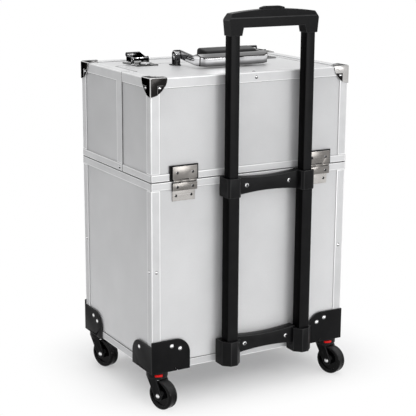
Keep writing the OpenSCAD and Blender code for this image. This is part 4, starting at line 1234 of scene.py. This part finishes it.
@dataclass
class Hinges:
    """Nickel hinge leaves, the gaskets that stand in for their shadow outlines, and pins."""

    soft: float = 0.45 * MM
    tongue_h: float = 17 * MM
    flat_turn: float = 0.8
    gasket_side: float = 3.6 * MM
    gasket_top: float = 1.2 * MM
    gasket_t: float = 1.0 * MM

    def _gasket_shadows(self, name: str, node: str, body: Body, is_rear: bool) -> None:
        """Puts a dark gasket behind each leaf of a set, wider than the leaf, so that it stands in for the
        leaf's shadow outline.

        Args:
            name: The piece's name.
            node: The leaves' CAD node.
            body: Their body.
            is_rear: True for the hinges at the rear, False for those at the front.
        """
        high = span(node)[1]
        rim_low, rim_high = span("base_rim")
        bottom, top = rim_high.z + self.gasket_top, high.z + self.gasket_top
        face = rim_high.y if is_rear else rim_low.y
        half = HINGE_W / 2 + self.gasket_side
        middles = [side * (high.x - HINGE_W / 2) for side in (-1, 1)]
        plates = [
            Bench.block(
                "gasket", (x - half, face - self.gasket_t, bottom), (x + half, face + self.gasket_t, top),
                self.gasket_t / 3,
            )
            for x in middles
        ]
        fit(Bench.join(name, plates), body, "black_plastic", BLACK_PLASTIC)

    def build(self) -> None:
        """Seats the leaves on gaskets, rounds them with painted highlights on the edges and painted shade
        on their sides and top, and dresses the pins.
        """
        self._gasket_shadows("rear_lid_hinge_gaskets", "rear_lid_hinge_leaves", Body.REAR_LID, True)
        self._gasket_shadows("front_lid_hinge_gaskets", "front_lid_hinge_leaves", Body.FRONT_LID, False)
        tongue = span("base_hinge_leaves")[0].z + self.tongue_h
        for name, node, body in (
            ("lower_hinge_leaves", "base_hinge_leaves", Body.BASE),
            ("rear_hinge_leaves", "rear_lid_hinge_leaves", Body.REAR_LID),
            ("front_hinge_leaves", "front_lid_hinge_leaves", Body.FRONT_LID),
        ):
            leaves = softened(name, node, body, "hinge_metal", NICKEL, self.soft, edge=NICKEL_PALE_AND_EDGE_HIGHLIGHT)
            # painted shade on the leaves' side and top walls
            tint(leaves, HINGE_SIDE_SHADE, lambda centre, normal: max(abs(normal.x), normal.z) > self.flat_turn)
            tint(leaves, NICKEL_PALE_AND_EDGE_HIGHLIGHT, lambda centre, normal: (
                centre.z < tongue and abs(normal.y) > self.flat_turn
            ))
        dress_node("hinge_pins", RIVET)


@dataclass
class Latches:
    """Top latches: base plates, levers and domed keepers."""

    soft: float = 0.4 * MM

    def build(self) -> None:
        """Rounds and plates the latch pieces."""
        for name, node, body in (
            ("latch_plates", "latch_bases", Body.FRONT_LID),
            ("latch_keeper_domes", "latch_keepers", Body.REAR_LID),
            ("left_latch_lever", "latch_lever_left", Body.LATCH_LEFT),
            ("right_latch_lever", "latch_lever_right", Body.LATCH_RIGHT),
        ):
            softened(name, node, body, "bright_chrome", LATCH_CHROME, self.soft)


@dataclass
class CarryHandle:
    """Folding carry handle: posts, chrome bail and soft grip."""

    soft: float = 1.0 * MM
    bail_steps: int = 3
    grip_soft: float = 2.4 * MM
    grip_steps: int = 4

    def build(self) -> None:
        """Rounds the three pieces."""
        softened("carry_posts", "handle_posts", Body.REAR_LID, "bright_chrome", LATCH_CHROME, self.soft)
        # the bail's rounded edges carry a painted dark reflection
        softened(
            "carry_bail", "handle_bail", Body.HANDLE, "bright_chrome", CHROME, self.soft,
            self.bail_steps, edge=CHROME_PAINTED_DARK_EDGE,
        )
        softened(
            "carry_grip", "handle_grip", Body.HANDLE, "black_plastic", BLACK_GRIP, self.grip_soft,
            self.grip_steps,
        )


@dataclass
class Trolley:
    """Telescopic trolley: three tube stages, clamps, boots, grip and release button."""

    tube_round: float = 1.5 * MM
    tube_steps: int = 3
    tube_wall: float = 1.3 * MM
    side_turn: float = 0.8
    soft: float = 0.8 * MM
    bracket_angle: float = 30.0
    grip_soft: float = 0.9 * MM
    grip_angle: float = 12.0
    grip_facet: float = 10.0
    button_angle: float = 15.0
    button_steps: int = 3

    def _tubes(self, name: str, node: str, body: Body) -> None:
        """Rounds the long outer edges of a tube pair and paints shade on its side faces.

        Args:
            name: The piece's name.
            node: The CAD node.
            body: Its body.
        """
        piece = Bench.cast(name, node)
        low, high = span(node)

        def is_outer(middle: Vector, along: Vector) -> bool:
            """True for an upright edge on the front or rear face."""
            deep = min(middle.y - low.y, high.y - middle.y)
            return abs(along.z) > ALONG and deep < self.tube_wall / 2

        Bench.pick_edges(piece, is_outer)
        Bench.bevel_picked(self.tube_round, self.tube_steps)
        Bench.smooth(piece)
        fit(piece, body, "black_coat", BLACK_TUBE, node)
        # painted shade: the tubes' left and right faces are darker
        tint(piece, BLACK_TUBE_SHADED_SIDE, lambda centre, normal: abs(normal.x) > self.side_turn)

    def build(self) -> None:
        """Makes the tubes, brackets, grip and button."""
        self._tubes("outer_tubes", "trolley_outer_tubes", Body.BASE)
        self._tubes("middle_tubes", "trolley_middle_tubes", Body.STAGE_2)
        self._tubes("inner_tubes", "trolley_inner_tubes", Body.STAGE_3)
        # clamps, boots and grip get painted highlights on their rounded edges
        for name, node in (("tube_clamps", "trolley_mid_bracket"), ("tube_boots", "trolley_foot_bracket")):
            softened(
                name, node, Body.BASE, "black_plastic", BLACK_PLASTIC, self.soft,
                angle=self.bracket_angle, edge=BLACK_EDGE_HIGHLIGHT,
            )
        grip = softened(
            "pull_grip", "trolley_grip", Body.STAGE_3, "black_plastic", BLACK_GRIP, self.grip_soft,
            angle=self.grip_angle, edge=BLACK_EDGE_HIGHLIGHT,
        )
        Bench.smooth(grip, self.grip_facet)
        softened(
            "pull_button", "trolley_button", Body.BUTTON, "black_plastic", BLACK_PLASTIC, self.soft,
            self.button_steps, self.button_angle,
        )


@dataclass
class Casters:
    """Corner brackets and the four casters with wheels, forks and release buttons."""

    soft: float = 0.7 * MM
    wheel_r: float = 24 * MM
    wheel_w: float = 18 * MM
    wheel_sides: int = 96
    wheel_soft: float = 0.35 * MM
    wheel_angle: float = 35.0
    rim_in: float = 2.6 * MM
    rim_step: float = 1.0 * MM
    dish_deep: float = 4.2 * MM
    hub_out: float = 4.6 * MM
    hub_r: float = 7 * MM
    bore_r: float = 3.02 * MM
    tread_round: float = 3 * MM
    tread_steps: int = 5
    groove_in: float = 5.6 * MM
    groove_side: float = 0.5 * MM
    groove_deep: float = 0.5 * MM
    near: float = 0.1 * MM
    slack: float = 0.03
    yaw: float = math.radians(18)
    tab_soft: float = 1.1 * MM
    tab_turn: float = 0.98
    tab_ease: float = 0.1 * MM

    def _wheel(self) -> Piece:
        """Models one wheel along X at the origin.

        Returns:
            The wheel.
        """
        wheel = Bench.rod("wheel", self.wheel_r, self.wheel_w, self.wheel_sides)
        rim = self.rim_in + self.tread_round
        dish = self.wheel_r - rim - self.rim_step
        tread_from = self.wheel_r * (1 - self.slack)

        def off_axis(point: Vector) -> float:
            """Distance from the axle's middle line."""
            return math.hypot(point.y, point.z)

        for side in (-1, 1):
            Bench.pick_faces(wheel, lambda centre, normal: normal.x * side > ALONG)
            for thickness, depth in (
                (rim, 0.0),
                (self.rim_step, -self.dish_deep),
                (dish - self.hub_r - self.rim_step, 0.0),
                (self.rim_step, self.hub_out),
                (self.hub_r - self.bore_r, 0.0),
            ):
                bpy.ops.mesh.inset(thickness=thickness, depth=depth)
            bpy.ops.mesh.delete(type="ONLY_FACE")
        Bench.pick_edges(wheel, lambda middle, along: (
            off_axis(middle) < self.bore_r * (1 + self.slack) and abs(along.x) < FACING
        ))
        bpy.ops.mesh.bridge_edge_loops()
        Bench.pick_faces(wheel, lambda centre, normal: (
            off_axis(centre) > tread_from and abs(normal.x) < 1 - ALONG
        ))
        bpy.ops.mesh.inset(thickness=self.groove_in)
        bpy.ops.mesh.inset(thickness=self.groove_side, depth=-self.groove_deep)
        Bench.pick_edges(wheel, lambda middle, along: (
            off_axis(middle) > tread_from and abs(abs(middle.x) - self.wheel_w / 2) < self.near
        ))
        Bench.bevel_picked(self.tread_round, self.tread_steps)
        Bench.round_edges(wheel, self.wheel_soft, angle=self.wheel_angle)
        Bench.smooth(wheel)
        return wheel

    def build(self) -> None:
        """Makes brackets, sockets and the four casters."""
        # plates, collars and forks get painted highlights on their rounded edges
        softened(
            "corner_plates", "corner_brackets", Body.BASE, "black_steel", BLACK_PAINT, self.soft,
            edge=BLACK_EDGE_HIGHLIGHT,
        )
        softened(
            "caster_collars", "caster_sockets", Body.BASE, "black_plastic", BLACK_PLASTIC, self.soft,
            edge=BLACK_EDGE_HIGHLIGHT,
        )
        pattern = self._wheel()
        outward = Vector((math.sin(self.yaw), math.cos(self.yaw), 0.0))
        for corner in Corner:
            label = corner.value
            low, high = span(f"caster_wheel_{label}")
            wheel = Bench.placed(f"wheel_{label}", pattern, (low + high) / 2, self.yaw)
            fit(wheel, f"wheel_{label}", "wheel_black", BLACK_WHEEL, f"caster_wheel_{label}")
            caster = f"caster_{label}"
            softened(
                f"fork_{label}", f"caster_fork_{label}", caster, "black_steel", BLACK_PAINT, self.soft,
                edge=BLACK_EDGE_HIGHLIGHT,
            )
            softened(f"axle_{label}", f"caster_axle_{label}", caster, "fastener_metal", RIVET, 0)
            tab = softened(
                f"release_tab_{label}", f"caster_release_{label}", f"release_{label}", "red_plastic",
                RED_PLASTIC, self.tab_soft,
            )
            Bench.pick_faces(tab, lambda centre, normal: normal.dot(outward) < -self.tab_turn)
            bpy.ops.transform.translate(value=outward * self.tab_ease)
            Bench.leave()
        bpy.data.objects.remove(pattern)


@dataclass
class Trays:
    """Two levelling trays with dividers, their links and posts."""

    soft: float = 0.4 * MM
    arm_soft: float = 0.3 * MM
    length: float = 320 * MM
    wall: float = 1.6 * MM
    divider_t: float = 1.4 * MM
    divider_soft: float = 0.3 * MM
    divider_drop: float = 5 * MM
    divider_spots: tuple[float, ...] = (-0.25, 0.0, 0.25)

    def _dividers(self, name: str, node: str, body: Body) -> None:
        """Stands dividers in a tray.

        Args:
            name: The piece's name.
            node: The tray's CAD node.
            body: The tray's body.
        """
        low, high = span(node)
        half = self.divider_t / 2
        plates = Bench.join(name, [
            Bench.block(
                "divider", (x - half, low.y + self.wall, low.z + self.wall),
                (x + half, high.y - self.wall, high.z - self.divider_drop), self.divider_soft,
            )
            for x in (spot * self.length for spot in self.divider_spots)
        ])
        Bench.smooth(plates)
        fit(plates, body, "tray_plastic", TRAY_PLASTIC)

    def build(self) -> None:
        """Makes trays, dividers, links and posts."""
        for level, body in (("lower", Body.TRAY_LOWER), ("upper", Body.TRAY_UPPER)):
            softened(f"{level}_tray_box", f"tray_{level}", body, "tray_plastic", TRAY_PLASTIC, self.soft)
            self._dividers(f"{level}_tray_dividers", f"tray_{level}", body)
        softened("tray_arms", "tray_links", Body.TRAY_LINKS, "hinge_metal", NICKEL, self.arm_soft)
        softened("tray_arm_posts", "tray_link_posts", Body.BASE, "hinge_metal", NICKEL, self.arm_soft)


@dataclass(frozen=True)
class FloorFinish(Finish):
    """Pale floor that keeps the shadow near the case and fades to white around it."""

    colour: Triple = (0.86, 0.86, 0.865)
    light: Triple = (0.90, 0.90, 0.905)
    rough: float = 0.8
    dust_and_sheen: float = 60.0
    centre: Triple = (-0.039, -0.064, 0.0)
    half: Triple = (0.127, 0.064, 0.0)
    fade_to: float = 0.21
    # painted light: lift mixes white glow into the floor even under the case, paling the shadow there
    lift: float = 0.148

    def draw(self, graph: Graph) -> None:
        """Draws the floor and its white surround for camera and mirror rays."""
        away = graph.vector("ABSOLUTE", graph.vector("SUBTRACT", graph.place(), self.centre))
        outside = graph.vector("MAXIMUM", graph.vector("SUBTRACT", away, self.half), (0.0, 0.0, 0.0))
        far = graph.vector("LENGTH", outside, out="Value")
        dust_and_sheen = graph.even_noise(self.dust_and_sheen, CLOUDY)
        ground = graph.node(
            "ShaderNodeBsdfPrincipled",
            None,
            {"Base Color": graph.blend(dust_and_sheen, self.colour, self.light), "Roughness": self.rough},
        )
        white = graph.node("ShaderNodeEmission", None, {"Color": WHITE, "Strength": 1.0})
        # painted light: the glow grows outside the rectangle given by centre and half, which sets where
        # the shadow shows
        fade = graph.spread(far, 0.0, self.fade_to) * (1.0 - self.lift) + self.lift
        mask = fade * graph.mirror_rays()
        graph.end(graph.node("ShaderNodeMixShader", None, {0: mask, 1: ground, 2: white}))


@dataclass(frozen=True)
class Lamp:
    """A soft box: where it stands, where it aims, its side and its power."""

    name: str
    spot: Triple
    aim: Triple
    side: float
    power: float

    def build(self) -> None:
        """Adds the area light."""
        Bench.clear()
        bpy.ops.object.light_add(type="AREA", location=self.spot)
        lamp = bpy.context.object
        lamp.name = self.name
        lamp.data.shape = "SQUARE"
        lamp.data.size = self.side
        lamp.data.energy = self.power
        lamp.rotation_euler = (Vector(self.aim) - Vector(self.spot)).to_track_quat("-Z", "Y").to_euler()


@dataclass
class Studio:
    """White floor, a bright dome, soft lights and the photo's camera."""

    floor_side: float = 80.0
    lamps: tuple[Lamp, ...] = (
        Lamp("key_box", (-1.5, 4.4, 0.50), (0.0, 0.0, 0.22), 1.7, 68.0),
        Lamp("top_box", (0.1, -0.2, 2.8), (0.0, 0.0, 0.3), 2.0, 17.0),
        Lamp("spark_box", (0.1, 2.3, 2.0), (0.0, 0.0, 0.3), 0.16, 3.0),
    )
    eye: Triple = (0.9931, 1.7057, 0.7698)
    look: Triple = (-0.48279, -0.84319, -0.23652)
    roll: float = math.radians(0.328)
    lens: float = 103.825
    sensor: float = 36.0
    sight: float = 200.0
    horizon: float = 0.07
    dome: float = 0.95
    dome_from: float = 0.22
    dome_to: float = 0.55
    dim_side: float = 0.35

    def build(self) -> None:
        """Adds floor, world, lamps and camera."""
        Bench.clear()
        bpy.ops.mesh.primitive_plane_add(size=self.floor_side)
        floor = Bench.settle("studio_floor")
        floor.data.materials.append(material_of(FloorFinish("pale_floor")))
        self._world()
        for lamp in self.lamps:
            lamp.build()
        self._camera()
        bpy.context.scene.view_settings.view_transform = "Standard"

    def _camera(self) -> None:
        """Adds the camera at the photo's place and angle."""
        bpy.ops.object.camera_add(location=self.eye)
        camera = bpy.context.object
        camera.name = "photo_camera"
        turn = Vector(self.look).to_track_quat("-Z", "Y") @ Quaternion((0.0, 0.0, 1.0), self.roll)
        camera.rotation_euler = turn.to_euler()
        camera.data.lens = self.lens
        camera.data.sensor_width = self.sensor
        camera.data.clip_end = self.sight
        bpy.context.scene.camera = camera

    def _world(self) -> None:
        """Draws a dome that is bright overhead and darker at the horizon, white to the camera."""
        world = bpy.data.worlds.new("studio_dome")
        bpy.context.scene.world = world
        world.use_nodes = True
        graph = Graph(world.node_tree)
        way = graph.node("ShaderNodeTexCoord", out="Generated")
        rise = graph.spread(graph.part(way, "Z"), self.dome_from, self.dome_to)
        shade = 1.0 - graph.spread(graph.part(way, "X"), 0.0, 1.0) * self.dim_side
        glow = (rise * (self.dome - self.horizon) + self.horizon) * shade
        soft, white = (
            graph.node("ShaderNodeBackground", None, {"Color": WHITE, "Strength": strength})
            for strength in (glow, 1.0)
        )
        mixed = graph.node("ShaderNodeMixShader", None, {0: graph.mirror_rays(), 1: soft, 2: white})
        graph.end(mixed, "ShaderNodeOutputWorld")


def main() -> None:
    """Builds the case's pieces in order."""
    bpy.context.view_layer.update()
    shell = CaseShell()
    shell.dress()
    shell.build()
    EdgeTrim().build()
    Hinges().build()
    Latches().build()
    CarryHandle().build()
    Trolley().build()
    Casters().build()
    Trays().build()
    Studio().build()
    Bench.clear()


if __name__ == "__main__":
    main()
